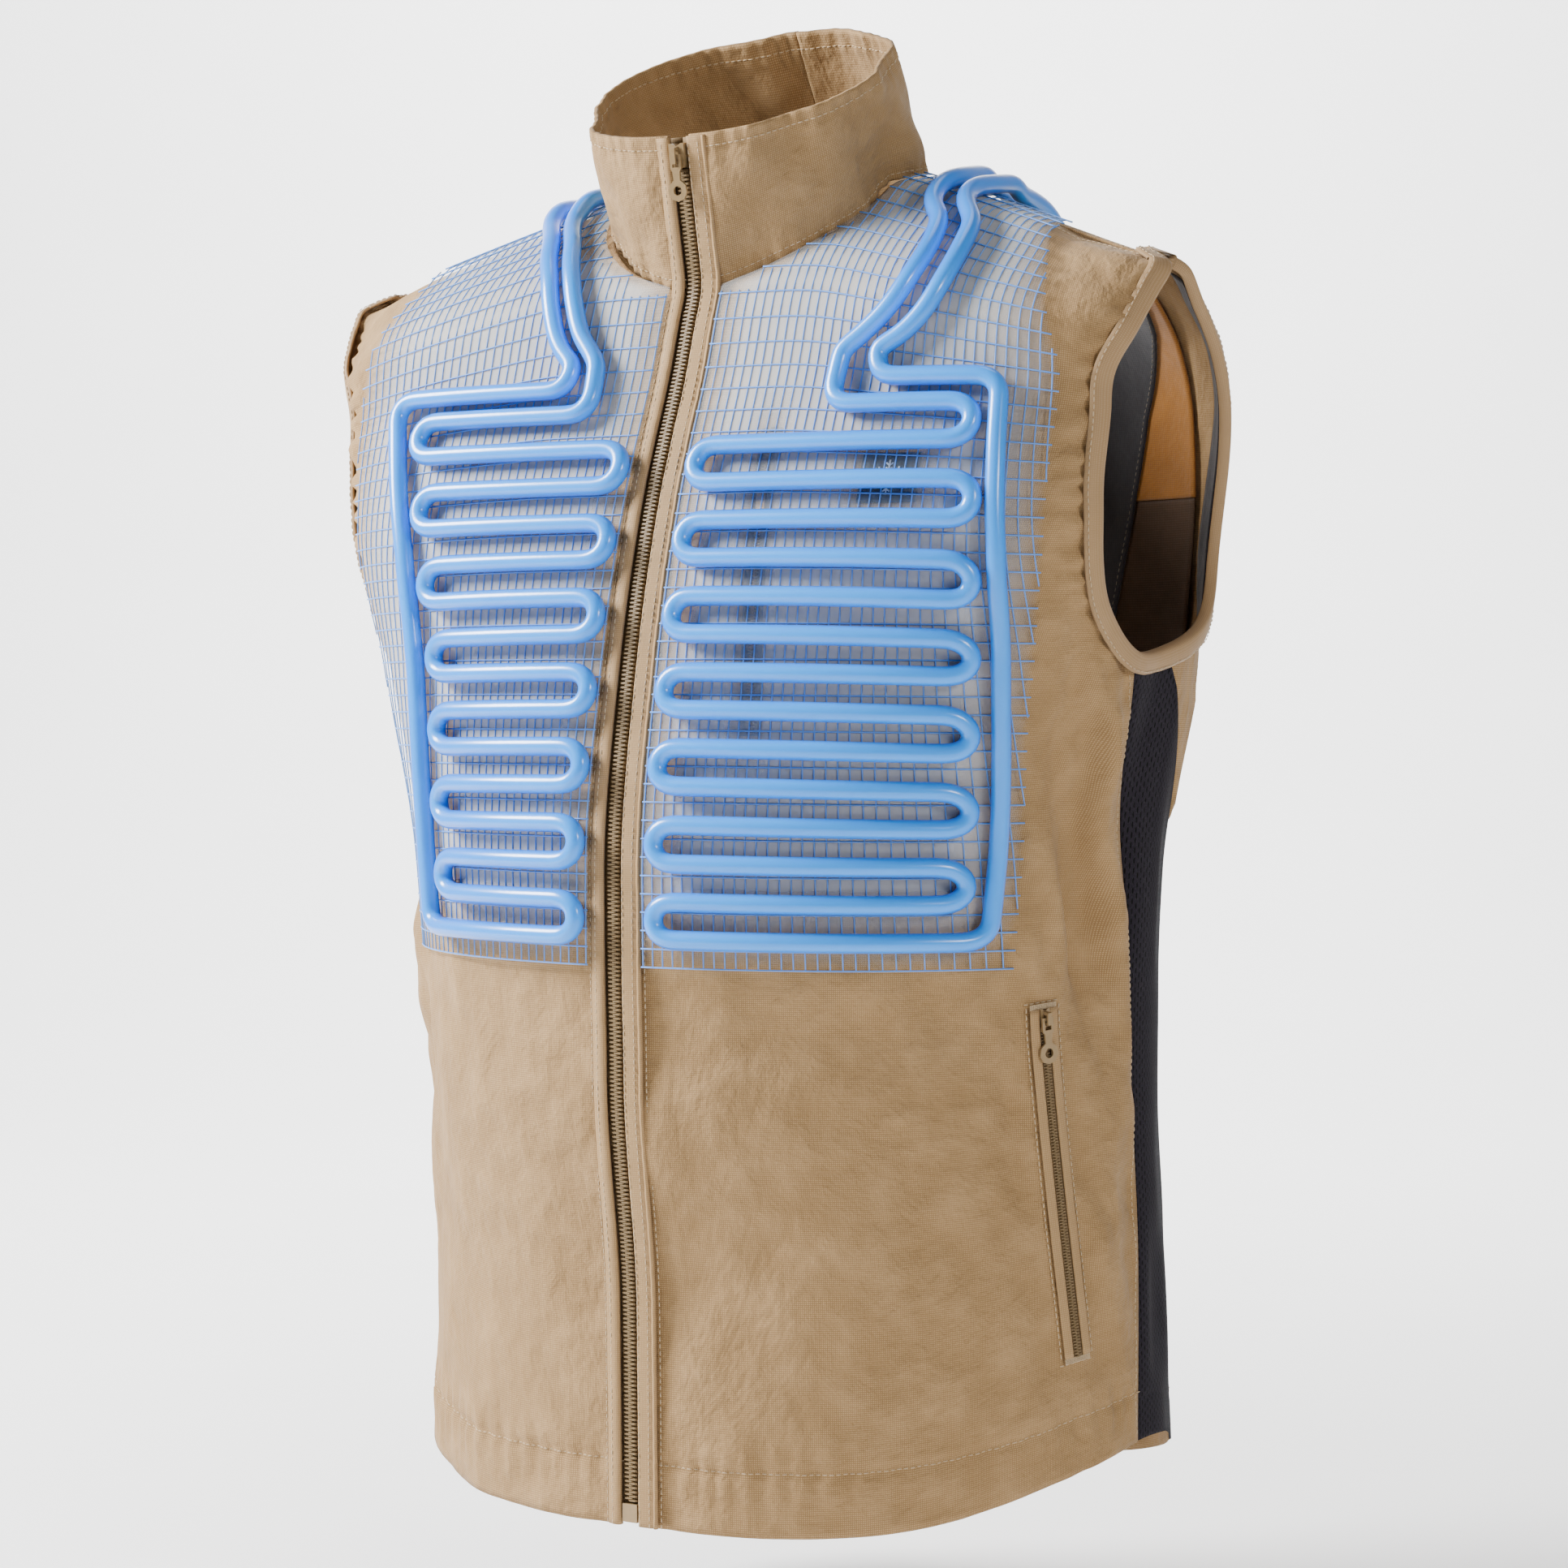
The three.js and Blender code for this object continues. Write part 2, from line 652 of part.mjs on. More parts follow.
// A band of constant section along frames; a section point is [sideways, outward]
function band(frames, shape) {
  return loft(frames.map(({ point, side, normal }) => shape.map(([across, out]) => (
    point.clone().addScaledVector(side, across).addScaledVector(normal, out)))));
}

// Frames along a line of surface points: side is across the line, to the wearer's left or up
function framesOn(spots) {
  const places = spots.map((spot) => cloth(spot));
  return places.map(({ point, normal }, i) => {
    const along = places[Math.min(i + 1, places.length - 1)].point.clone()
      .sub(places[Math.max(i - 1, 0)].point).normalize();
    const out = normal.clone().addScaledVector(along, -normal.dot(along)).normalize();
    return { point, normal: out, along, side: out.clone().cross(along).normalize() };
  });
}

// Mirror a solid to the wearer's right
function mirrored(geometry) {
  const copy = geometry.clone();
  const position = copy.attributes.position;
  for (let i = 0; i < position.count; i += 1) position.setX(i, -position.getX(i));
  copy.setIndex([...copy.index.array].reverse());
  return copy;
}

// Boolean join of closed solids
function toManifold(geometry) {
  const plain = geometry.clone();
  plain.deleteAttribute('normal');
  plain.deleteAttribute('uv');
  const merged = mergeVertices(plain, 1e-4);
  return new wasm.Manifold(new wasm.Mesh({
    numProp: 3,
    vertProperties: new Float32Array(merged.attributes.position.array),
    triVerts: new Uint32Array(merged.index.array),
  }));
}

function joined(first, second) {
  const mesh = toManifold(first).add(toManifold(second)).getMesh();
  const geometry = new THREE.BufferGeometry();
  geometry.setAttribute('position', new THREE.Float32BufferAttribute(mesh.vertProperties, 3));
  geometry.setIndex([...mesh.triVerts]);
  return geometry;
}

// Front panels, from the zip to the side seam, armhole, shoulder seam and neckline
const armBottom = frontArm[0];
const frontLowRises = steps(0, armBottom.rise, lowerRows);
const frontHighRises = rowsOf([armBottom.rise, ...neckFrontRises], frontArm.map((spot) => spot.rise));
const frontRises = [...frontLowRises.slice(0, -1), ...frontHighRises.map((rise, i, all) => (
  i === all.length - 1 ? rise - riseGap : rise))];
const neckFrontRise = neckFrontRises[0];
const neckInner = (rise) => (rise < neckFrontRise ? angleAcross(zipOpening, rise) : neckAt(rise).angle);
const frontOuter = (rise) => (rise < armBottom.rise
  ? seamAngle('front', rise, armBottom)
  : armEdge(frontArm, rise, (spot) => spot.rise)) - inset;
const onCloth = (patch, lift = 0) => patch.map((row) => row.map((spot) => cloth(spot, lift)));
const frontPanel = grid(frontRises, frontColumns, neckInner, frontOuter);

// Negative angles mirror a patch to the wearer's right
const swapped = (patch) => patch.map((row) => (
  [...row].reverse().map(({ angle, rise }) => ({ angle: -angle, rise }))));

// The back panel with its yoke, which comes over the shoulders to the front seam
const backEnd = backArm[backArm.length - 1];
const backLowRises = steps(0, backEnd.rise, lowerRows);
const backHighRises = rowsOf(
  [backEnd.rise, ...neckBackRises.map((rise) => 2 - rise)], backArm.map(overRidge));
const backRises = [...backLowRises.slice(0, -1), ...backHighRises.map((rise, i, all) => (
  i === all.length - 1 ? rise - riseGap : rise))];
const neckBackRise = 2 - neckBackRises[neckBackRises.length - 1];
const backAngle = (angle, rise) => (rise > 1 ? Math.PI - angle : angle);
const backEdge = backArm.map((spot) => (
  { angle: backAngle(spot.angle, overRidge(spot)), rise: overRidge(spot) }));
const backOuter = (rise) => {
  const edge = rise < backEnd.rise ? seamAngle('back', rise, backEnd)
    : armEdge(backEdge, rise, (spot) => spot.rise);
  return edge + inset;
};
const backInner = (rise) => (rise <= neckBackRise ? Math.PI : backAngle(neckAt(2 - rise).angle, rise));
const backPanel = grid(backRises, backColumns, backOuter, backInner);

// Black mesh side panels, under the armholes
const sidePanel = steps(0, 1, lowerRows).map((share) => [...sideArm].reverse().map((end, j) => {
  const rise = share * end.rise;
  const across = j / sideColumns;
  const edge = lerp(seamAngle('front', Math.min(rise, armBottom.rise), armBottom) + inset,
    seamAngle('back', Math.min(rise, backEnd.rise), backEnd) - inset, across);
  const atEnd = lerp(seamAngle('front', Math.min(end.rise, armBottom.rise), armBottom) + inset,
    seamAngle('back', Math.min(end.rise, backEnd.rise), backEnd) - inset, across);
  const bend = j === 0 || j === sideColumns ? 0 : (end.angle - atEnd) * share ** 4;
  return { angle: edge + bend, rise };
}));

// Stand collar on the neckline, leaning forward to its top ring
const neckSpots = [
  ...frontHighRises.filter((rise) => rise >= neckFrontRise - 1e-9).map((rise) => neckAt(rise)),
  ...[...backHighRises].reverse()
    .filter((rise) => rise > neckBackRise + riseGap && rise < 2 - seamRise - riseGap)
    .map((rise) => neckAt(2 - rise)),
];
const collarTop = (turn) => {
  const sine = Math.abs(Math.sin(turn));
  const cosine = Math.abs(Math.cos(turn));
  const spread = (sine ** collarSquare + cosine ** collarSquare) ** (1 / collarSquare);
  const middle = (collarBack - collarFront) / 2;
  const reach = (collarBack + collarFront) / 2;
  const behind = middle - reach * Math.sign(Math.cos(turn)) * cosine / spread;
  const share = (behind + collarFront) / (collarBack + collarFront);
  return vector(collarHalfWidth * sine / spread, behind, lerp(collarFrontTop, collarBackTop, share));
};
const collarSide = (spot) => {
  const foot = body(spot.angle, spot.rise);
  const top = collarTop(spot.turn);
  if (spot === neckSpots[0]) top.x = zipOpening;
  return { foot, top };
};
const leftEdge = neckSpots.map(collarSide);
const nape = { foot: body(Math.PI, neckBackRise), top: collarTop(Math.PI) };
const flip = ({ foot, top }) => ({ foot: foot.clone().setX(-foot.x), top: top.clone().setX(-top.x) });
nape.foot.x = 0;
nape.top.x = 0;
const around = [...leftEdge, nape, ...[...leftEdge].reverse().map(flip)];
const collarPatch = steps(0, 1, collarRows).map((share) => around.map(({ foot, top }, i) => {
  const before = around[Math.max(i - 1, 0)];
  const after = around[Math.min(i + 1, around.length - 1)];
  const upward = top.clone().sub(foot).normalize();
  const halfway = (side) => side.foot.clone().lerp(side.top, 0.5);
  const sideways = halfway(after).sub(halfway(before)).normalize();
  const normal = sideways.cross(upward).normalize();
  const round = i / (around.length - 1);
  const dent = COLLAR_DENTS.reduce((sum, row) => sum + row.depth * collarDentDepth
    * Math.exp(-(((round - row.round) / row.spread) ** 2))
    * Math.max(0, 1 - ((share - row.up) / collarDentReach) ** 2), 0);
  const edge = i === 0 || i === around.length - 1 ? 0 : 1;
  const point = foot.clone().addScaledVector(upward, seamGap)
    .lerp(top, share)
    .addScaledVector(normal, collarBow * 4 * share * (1 - share) + dent * edge);
  return { point, normal };
}));

// The centre front line, up the body and the collar, with the panels' own rows as its bends
const centreLine = [
  ...frontRises.filter((rise) => rise < neckFrontRise + riseGap)
    .map((rise) => cloth({ angle: 0, rise }).point),
  ...collarPatch.slice(1).map((row) => row[0].point.clone().setX(0)),
];
const centreLengths = centreLine.reduce((sums, point, i) => (
  i === 0 ? [0] : [...sums, sums[i - 1] + point.distanceTo(centreLine[i - 1])]), []);
const centreTotal = centreLengths[centreLengths.length - 1];
function centreFrame(length) {
  let i = 0;
  while (i < centreLengths.length - 2 && length > centreLengths[i + 1]) i += 1;
  const share = (length - centreLengths[i]) / (centreLengths[i + 1] - centreLengths[i]);
  const slope = (k) => {
    const [low, high] = [Math.max(k - 1, 0), Math.min(k + 1, centreLine.length - 1)];
    return centreLine[high].clone().sub(centreLine[low]).normalize();
  };
  const along = slope(i).lerp(slope(i + 1), share).normalize();
  return {
    point: centreLine[i].clone().lerp(centreLine[i + 1], share),
    along, side: vector(1, 0, 0), normal: vector(0, -along.z, along.y),
  };
}
const centreFrames = (from, to) => [from, ...centreLengths.filter((length) => (
  length > from + layerGap && length < to - layerGap)), to].map(centreFrame);

// Zip pieces, layered from the tapes behind to the plackets in front
const zipBack = -(collarThickness + layerGap);
const sliderTop = centreTotal - zipTopMargin;
const sliderBottom = sliderTop - sliderLength;
const tapeShape = (sign) => [
  [tapeInner, zipBack], [tapeWidth, zipBack], [tapeWidth, zipBack - tapeThickness],
  [tapeInner, zipBack - tapeThickness]].map(([across, out]) => [sign * across, out]);
const tapeFrames = centreFrames(zipStart, centreTotal - 1);
const chainShape = [[-chainHalfWidth, zipBack + fitGap], [chainHalfWidth, zipBack + fitGap],
  [chainHalfWidth, chainShoulder], [chainHalfWidth / 2, chainProud],
  [-chainHalfWidth / 2, chainProud], [-chainHalfWidth, chainShoulder]];
const chainFrames = centreFrames(zipStart + retainerLength + fitGap, sliderBottom - fitGap);
const placketFrames = centreFrames(fitGap, centreTotal - fitGap);
const leftPlacket = [[placketStart, placketGap], [placketLeftEnd, placketGap],
  [placketLeftEnd, placketGap + placketThickness + pipingHeight / 2],
  [placketLeftEnd - pipingRound, placketGap + placketThickness + pipingHeight],
  [placketLeftEnd - pipingWidth, placketGap + placketThickness],
  [placketStart, placketGap + placketThickness]];
const rightPlacket = [[placketStart, placketGap], [placketStart, placketGap + foldHeight / 2],
  [placketStart + foldRound, placketGap + foldHeight], [placketRightEnd - foldTail, placketGap + foldHeight],
  [placketRightEnd, placketGap + foldHeight / 3], [placketRightEnd, placketGap]]
  .map(([across, out]) => [-across, out]);
const retainerShape = [[-retainerHalf, zipBack + fitGap], [retainerHalf, zipBack + fitGap],
  [retainerHalf, retainerProud], [-retainerHalf, retainerProud]];

// A slider body with its arch, and the pull tab that hangs from the arch
function extruded(shape, depth, from) {
  const geometry = new THREE.ExtrudeGeometry(
    shape, { depth, bevelEnabled: false, curveSegments: roundSteps });
  return geometry.translate(0, 0, from);
}
function outline(points) {
  return new THREE.Shape(points.map(([x, y]) => new THREE.Vector2(x, y)));
}
const archRise = archFloor + archOpening + archWall;
const barLevel = archFloor + archOpening / 2;
function sliderSolid(wide, length, from, proud) {
  const plate = extruded(outline([
    [-wide, length / 2], [-wide, 0], [-wide * sliderTaper, -length / 2],
    [wide * sliderTaper, -length / 2], [wide, 0], [wide, length / 2],
    [wide * sliderNotch, length / 2], [0, length * sliderWaist], [-wide * sliderNotch, length / 2],
  ]), proud - from, from);
  const half = Math.min(archHalfLength, length * sliderWaist);
  const side = outline([
    [-half, -archSink], [half, -archSink], [half * archTaper, archRise], [-half * archTaper, archRise]]);
  const hole = half * archTaper - archWall;
  side.holes.push(new THREE.Path([[-hole, archFloor], [-hole, archFloor + archOpening],
    [hole, archFloor + archOpening], [hole, archFloor]].map(([x, y]) => new THREE.Vector2(x, y))));
  const arch = extruded(side, archThickness, -archThickness / 2);
  arch.applyMatrix4(new THREE.Matrix4().makeBasis(vector(0, 1, 0), vector(0, 0, 1), vector(1, 0, 0)));
  arch.translate(0, 0, proud);
  return joined(plate, arch);
}
function pullSolid(proud) {
  const shape = outline([
    [-pullHalfWidth, barSize / 2], [-pullHalfWidth, -pullWindow - pullShoulder],
    [-pullShank, -pullWindow - pullNeck],
    ...steps(ringStart, ringStart + ringTurn, ringSteps).map((turn) => [
      pullRing * Math.cos(degToRad(turn)), -pullLength + pullRing * Math.sin(degToRad(turn))]),
    [pullShank, -pullWindow - pullNeck],
    [pullHalfWidth, -pullWindow - pullShoulder], [pullHalfWidth, barSize / 2],
  ]);
  const half = archThickness / 2 + pullPlay;
  shape.holes.push(new THREE.Path([[-half, -barSize / 2], [half, -barSize / 2], [half, -pullWindow],
    [-half, -pullWindow]].map(([x, y]) => new THREE.Vector2(x, y))));
  const ring = new THREE.Path();
  ring.absarc(0, -pullLength, pullHole, 0, Math.PI * 2, true);
  shape.holes.push(ring);
  return extruded(shape, pullThickness, proud + barLevel - pullThickness / 2);
}
function placedAt(geometry, { point, normal, up }) {
  const matrix = new THREE.Matrix4().makeBasis(up.clone().cross(normal), up, normal).setPosition(point);
  const placed = geometry.clone().applyMatrix4(matrix);
  ['normal', 'uv'].forEach((name) => placed.deleteAttribute(name));
  return mergeVertices(placed, 1e-4);
}
const sliderSpot = centreFrame((sliderTop + sliderBottom) / 2);
const sliderFrame = { point: sliderSpot.point, normal: sliderSpot.normal, up: sliderSpot.along };
const frontSlider = placedAt(
  sliderSolid(sliderHalfWidth, sliderLength, zipBack + fitGap, sliderProud), sliderFrame);
const frontPull = placedAt(pullSolid(sliderProud), sliderFrame);

// Hand pocket on the wearer's left: a zip between two welt lips
const pocketLine = (from, to, count) => framesOn(steps(from, to, count).map((share) => spotBehind(
  -lerp(pocketTopForward, pocketBottomForward, share), -lerp(pocketTop, pocketBottom, share))));
const pocketLength = pocketBottom - pocketTop;
const pocketFrames = pocketLine(0, 1, 8);
const lipShape = (sign) => [[pocketLipStart, pocketGap], [pocketLipEnd, pocketGap],
  [pocketLipEnd, pocketGap + pocketLipThickness / 2],
  [pocketLipStart + lipRound, pocketGap + pocketLipThickness],
  [pocketLipStart, pocketGap + pocketLipThickness * sliderTaper]]
  .map(([across, out]) => [sign * across, out]);
const pocketChainShape = [[-pocketChainHalf, pocketGap], [pocketChainHalf, pocketGap],
  [pocketChainHalf, pocketGap + pocketTeethShoulder], [pocketChainHalf / 2, pocketGap + pocketTeethProud],
  [-pocketChainHalf / 2, pocketGap + pocketTeethProud], [-pocketChainHalf, pocketGap + pocketTeethShoulder]];
const pocketSliderShare = pocketSliderLength / pocketLength;
const pocketChainFrames = pocketLine(pocketSliderShare + fitGap / pocketLength, 0.99, 8);
const pocketSpot = pocketLine(pocketSliderShare / 2, pocketSliderShare, 1)[0];
const pocketFrame = {
  point: pocketSpot.point, normal: pocketSpot.normal, up: pocketSpot.along.clone().negate(),
};
const pocketSlider = placedAt(
  sliderSolid(pocketSliderHalf, pocketSliderLength, pocketGap, pocketSliderProud), pocketFrame);
const pocketPull = placedAt(pullSolid(pocketSliderProud), pocketFrame);

// Chest pocket zip and control patch, under the left cooling panel
const chestLine = (from, to, count) => framesOn(steps(from, to, count).map((share) => spotAcross(
  lerp(chestZipTopAcross, chestZipBottomAcross, share), -lerp(chestZipTop, chestZipBottom, share))));
const flatBand = (half, from, to) => [[-half, from], [half, from], [half, to], [-half, to]];
const chestPullShare = chestPullLength / (chestZipBottom - chestZipTop);
const chestPullLift = chestZipGap + chestZipThickness + fitGap;
const patchSpots = steps(-1, 1, 3).map((up) => steps(-1, 1, 3).map((out) => spotAcross(
  patchAcross + out * patchHalfWidth, -patchLevel + up * patchHalfHeight)));

// Sheer cooling panels over the chest, from below the ribs to the shoulder seam
const coolingStart = spotAcross(coolingLeftStart, -coolingBottom).rise;
const coolingRises = [coolingStart, ...frontRises.filter((rise) => rise > coolingStart + 0.02)];
const coolingPatch = (start) => grid(coolingRises, coolingColumns, (rise) => {
  const edge = angleAcross(start, rise);
  if (rise < neckFrontRise) return edge;
  return Math.max(edge, angleAcross(neckOval(neckAt(rise).turn).across + coolingNeckGap, rise));
}, (rise) => angleAcross(coolingEdge(section(rise).height).across * coolingReach, rise));
const coolingOut = coolingLift + coolingThickness;

// One continuous hose on each side: over the shoulder, along the rows, up the outer edge and back
function hoseLine(runRows, turnRows, innerTurn) {
  const turns = through(turnRows, 'row');
  const point = (across, level, front = true) => ({ across, level, front });
  const runs = (column) => runRows.map((row) => point(row[column] * hoseReach, -row.fall * hoseFall));
  const behind = (column, fall) => [
    ...HOSE_BACK.map((row) => point(row[column] * hoseReach, -row[fall] * hoseFall, false)).reverse()];
  const last = HOSE_BACK[HOSE_BACK.length - 1];
  const level = (row) => -(firstRow + (row - 1) * hosePitch);
  const turnAt = (row) => turns((row - 1) / (hoseRows - 1));
  const crest = (column) => [1, 0, 0].map((share, i) => ({
    across: lerp(runRows[0][column], HOSE_BACK[0][column], i / 2) * hoseReach,
    rise: i === 1 ? 1 : 1 - hoseCrest, front: share === 1,
  })).reverse();
  const innerRun = runs('inner');
  const outerRun = runs('outer');
  const rows = [];
  for (let row = 1; row < hoseRows; row += 1) {
    const end = row % 2 ? turnAt(row + 0.5).turn * hoseReach : innerTurn;
    rows.push(point(end, level(row)), point(end, level(row + 1)));
  }
  const upright = steps(hoseRows, 1, 5).map((row) => point(turnAt(row).edge * hoseReach, level(row)));
  upright[upright.length - 1].level = -returnRow;
  const corners = [
    innerRun[innerRun.length - 1], point(innerRun[innerRun.length - 1].across, level(1)),
    ...rows, ...upright,
    point(outerRun[outerRun.length - 1].across, -returnRow), outerRun[outerRun.length - 1],
  ];
  const middle = roundedLine(corners);
  return [
    point(seamGap / 2, -last.innerFall * hoseFall, false), ...behind('inner', 'innerFall'),
    ...crest('inner'), ...innerRun, ...middle, ...[...outerRun].reverse(),
    ...crest('outer').reverse(), ...behind('outer', 'outerFall').reverse(),
    point(seamGap / 2, -last.outerFall * hoseFall, false),
  ];
}

// Corners of a line replaced by arcs, with long straights divided
function roundedLine(corners) {
  const flat = corners.map((corner) => new THREE.Vector2(corner.across, corner.level));
  const line = [];
  for (let i = 1; i < flat.length - 1; i += 1) {
    const [a, b, c] = [flat[i - 1], flat[i], flat[i + 1]];
    const before = a.clone().sub(b);
    const after = c.clone().sub(b);
    const open = before.angleTo(after);
    if (open > degToRad(150)) {
      line.push(b.clone());
    } else {
      const radius = hosePitch / 2;
      const reach = Math.min(radius / Math.tan(open / 2), before.length() / 2, after.length() / 2);
      const centre = b.clone().add(before.clone().normalize().add(after.clone().normalize()).normalize()
        .multiplyScalar(reach / Math.cos(open / 2)));
      const start = b.clone().add(before.clone().setLength(reach)).sub(centre);
      const end = b.clone().add(after.clone().setLength(reach)).sub(centre);
      let sweep = end.angle() - start.angle();
      if (sweep > Math.PI) sweep -= 2 * Math.PI;
      if (sweep < -Math.PI) sweep += 2 * Math.PI;
      steps(0, 1, 2).forEach((share) => line.push(centre.clone().add(
        start.clone().rotateAround(new THREE.Vector2(), sweep * share))));
    }
  }
  const divided = [];
  line.forEach((here, i) => {
    if (i > 0) {
      const gap = here.distanceTo(line[i - 1]);
      if (gap < 0.5) return;
      const count = Math.ceil(gap / hoseStep);
      steps(0, 1, count).slice(1, -1)
        .forEach((share) => divided.push(line[i - 1].clone().lerp(here, share)));
    }
    divided.push(here);
  });
  return divided.map(({ x, y }) => ({ across: x, level: y, front: true }));
}

function hoseSolid(line) {
  const rowLift = coolingOut + hoseClearance + hoseRadius;
  const runLift = coolingOut + hoseShoulderClearance + hoseRadius;
  const backLift = hoseBackClearance + hoseRadius;
  const places = line.map(({ across, level, rise, front }) => {
    const spot = rise ? { angle: angleAcross(across, rise, front), rise } : spotAcross(across, level, front);
    const frontLift = level < -hoseFall ? rowLift : runLift;
    return cloth(spot, front ? frontLift : backLift).point;
  });
  const tangents = places.map((place, i) => places[Math.min(i + 1, places.length - 1)].clone()
    .sub(places[Math.max(i - 1, 0)]).normalize());
  tangents[0] = vector(1, 0, 0);
  tangents[tangents.length - 1] = vector(-1, 0, 0);
  let side = vector(0, 0, 1);
  return loft(places.map((place, i) => {
    side = side.addScaledVector(tangents[i], -side.dot(tangents[i])).normalize();
    const other = tangents[i].clone().cross(side);
    return steps(0, Math.PI * 2, hoseSides).slice(1).map((turn) => place.clone()
      .addScaledVector(side, Math.cos(turn) * hoseRadius)
      .addScaledVector(other, Math.sin(turn) * hoseRadius));
  }));
}

// Binding folded over the armhole edge
const bindingTurns = [...frontTurns.slice(0, -1), ...backTurns.slice(0, -1), ...sideTurns.slice(0, -1)];
const binding = loft(bindingTurns.map((turn) => {
  const edge = cloth(armhole(turn));
  const middle = cloth(armhole(turn, bindingWidth * bindingBend));
  const far = cloth(armhole(turn, bindingWidth));
  const off = far.point.clone().sub(edge.point).normalize();
  const at = (place, along, out) => (
    place.point.clone().addScaledVector(off, along).addScaledVector(place.normal, out));
  const under = -(clothThickness + bindingGap);
  const over = bindingGap + bindingThickness;
  return [
    at(middle, 0, bindingGap), at(far, 0, bindingGap), at(far, 0, over),
    at(middle, 0, over), at(edge, -bindingLip, over), at(edge, -bindingLip, under),
    at(edge, -seamGap, under), at(edge, -seamGap, bindingGap),
  ];
}), true);

// Facing inside the armhole's back edge, and the linings seen through the armhole
const facing = sheet([steps(facingStart, facingEnd, facingSteps).map((turn) => (
  [bindingLip, facingWidth].map((away) => cloth(armhole(turn, away), -facingInset))))], liningThickness);
const liningPatch = (from, to, top, bottom, columns, rows) => steps(bottom, top, rows).map((level) => (
  steps(from, to, columns).map((across) => {
    const { angle, rise } = spotAcross(Math.abs(across), -level, false);
    return cloth({ angle: across < 0 ? -angle : angle, rise }, -liningInset);
  })));
const liningOuter = liningHalfCentre + liningSideWidth;
const centreLining = sheet([liningPatch(-liningHalfCentre, liningHalfCentre, liningTop, liningBottom, 6, 5)],
  liningThickness);
const upperLining = sheet([liningPatch(
  liningHalfCentre + seamGap, liningOuter, liningTop, liningSplit - seamGap, 3, 3)], liningThickness);
const lowerLining = sheet([liningPatch(
  liningHalfCentre + seamGap, liningOuter, liningSplit, liningBottom, 3, 3)], liningThickness);

// Materials
const finish = (color, roughness, metalness = 0) => (
  new THREE.MeshStandardMaterial({ color, roughness, metalness }));
const tan = finish(0xb99f7d, 0.85);
const tanTrim = finish(0xad9474, 0.7);
const sheer = finish(0xa9a6a0, 0.6);
const hose = finish(0x4d9fe8, 0.3);
const mesh = finish(0x2a2630, 0.9);
const zipTeeth = finish(0x8f7a62, 0.5);
const painted = finish(0xa08a6e, 0.4, 0.6);
const ochre = finish(0x8a5a1e, 0.8);
const brown = finish(0x4a3528, 0.85);
const teal = finish(0x15323c, 0.5);

const leftHose = hoseLine(HOSE_RUNS_LEFT, HOSE_TURNS_LEFT, hoseLeftInner);
const rightHose = hoseLine(HOSE_RUNS_RIGHT, HOSE_TURNS_RIGHT, hoseRightInner);
const cooling = (start) => sheet([onCloth(coolingPatch(start), coolingOut)], coolingThickness);
const PIECES = [
  ['front_panel_left', sheet([onCloth(frontPanel)], clothThickness), tan],
  ['front_panel_right', sheet([onCloth(swapped(frontPanel))], clothThickness), tan],
  ['side_panel_left', sheet([onCloth(sidePanel)], clothThickness), mesh],
  ['side_panel_right', sheet([onCloth(swapped(sidePanel))], clothThickness), mesh],
  ['back_panel', sheet([onCloth(backPanel), onCloth(swapped(backPanel))], clothThickness), tan],
  ['collar', sheet([collarPatch], collarThickness), tan],
  ['armhole_binding_left', binding, tanTrim],
  ['armhole_binding_right', mirrored(binding), tanTrim],
  ['armhole_facing_left', facing, mesh],
  ['armhole_facing_right', mirrored(facing), mesh],
  ['back_lining_center', centreLining, mesh],
  ['back_lining_upper_left', upperLining, ochre],
  ['back_lining_upper_right', mirrored(upperLining), ochre],
  ['back_lining_lower_left', lowerLining, brown],
  ['back_lining_lower_right', mirrored(lowerLining), brown],
  ['cooling_panel_left', cooling(coolingLeftStart), sheer],
  ['cooling_panel_right', mirrored(cooling(coolingRightStart)), sheer],
  ['cooling_hose_left', hoseSolid(leftHose), hose],
  ['cooling_hose_right', mirrored(hoseSolid(rightHose)), hose],
  ['zip_tape_left', band(tapeFrames, tapeShape(1)), tanTrim],
  ['zip_tape_right', band(tapeFrames, tapeShape(-1)), tanTrim],
  ['zip_chain', band(chainFrames, chainShape), zipTeeth],
  ['zip_retainer_box', band(centreFrames(zipStart, zipStart + retainerLength), retainerShape), zipTeeth],
  ['placket_left', band(placketFrames, leftPlacket), tan],
  ['placket_right', band(placketFrames, rightPlacket), tan],
  ['front_zip_slider', frontSlider, painted],
  ['front_zip_pull', frontPull, painted],
  ['hand_pocket_lip_fore', band(pocketFrames, lipShape(-1)), tan],
  ['hand_pocket_lip_rear', band(pocketFrames, lipShape(1)), tan],
  ['hand_pocket_chain', band(pocketChainFrames, pocketChainShape), zipTeeth],
  ['hand_pocket_slider', pocketSlider, painted],
  ['hand_pocket_pull', pocketPull, painted],
  ['chest_pocket_zip', band(chestLine(0, 1, 6), flatBand(chestZipHalf, chestZipGap,
    chestZipGap + chestZipThickness)), zipTeeth],
  ['chest_pocket_pull', band(chestLine(chestPullStart, chestPullStart + chestPullShare, 1),
    flatBand(chestPullHalf, chestPullLift, chestPullLift + 0.7)), painted],
  ['control_patch', sheet([onCloth(patchSpots, chestZipGap + chestZipThickness)], chestZipThickness), teal],
];

const vest = new THREE.Group();
PIECES.forEach(([name, geometry, material]) => {
  const piece = new THREE.Mesh(geometry, material);
  piece.name = name;
  vest.add(piece);
});

export default vest;
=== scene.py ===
"""Cooling vest: the looks of a sleeveless work vest with coolant hoses, built round its CAD frame."""

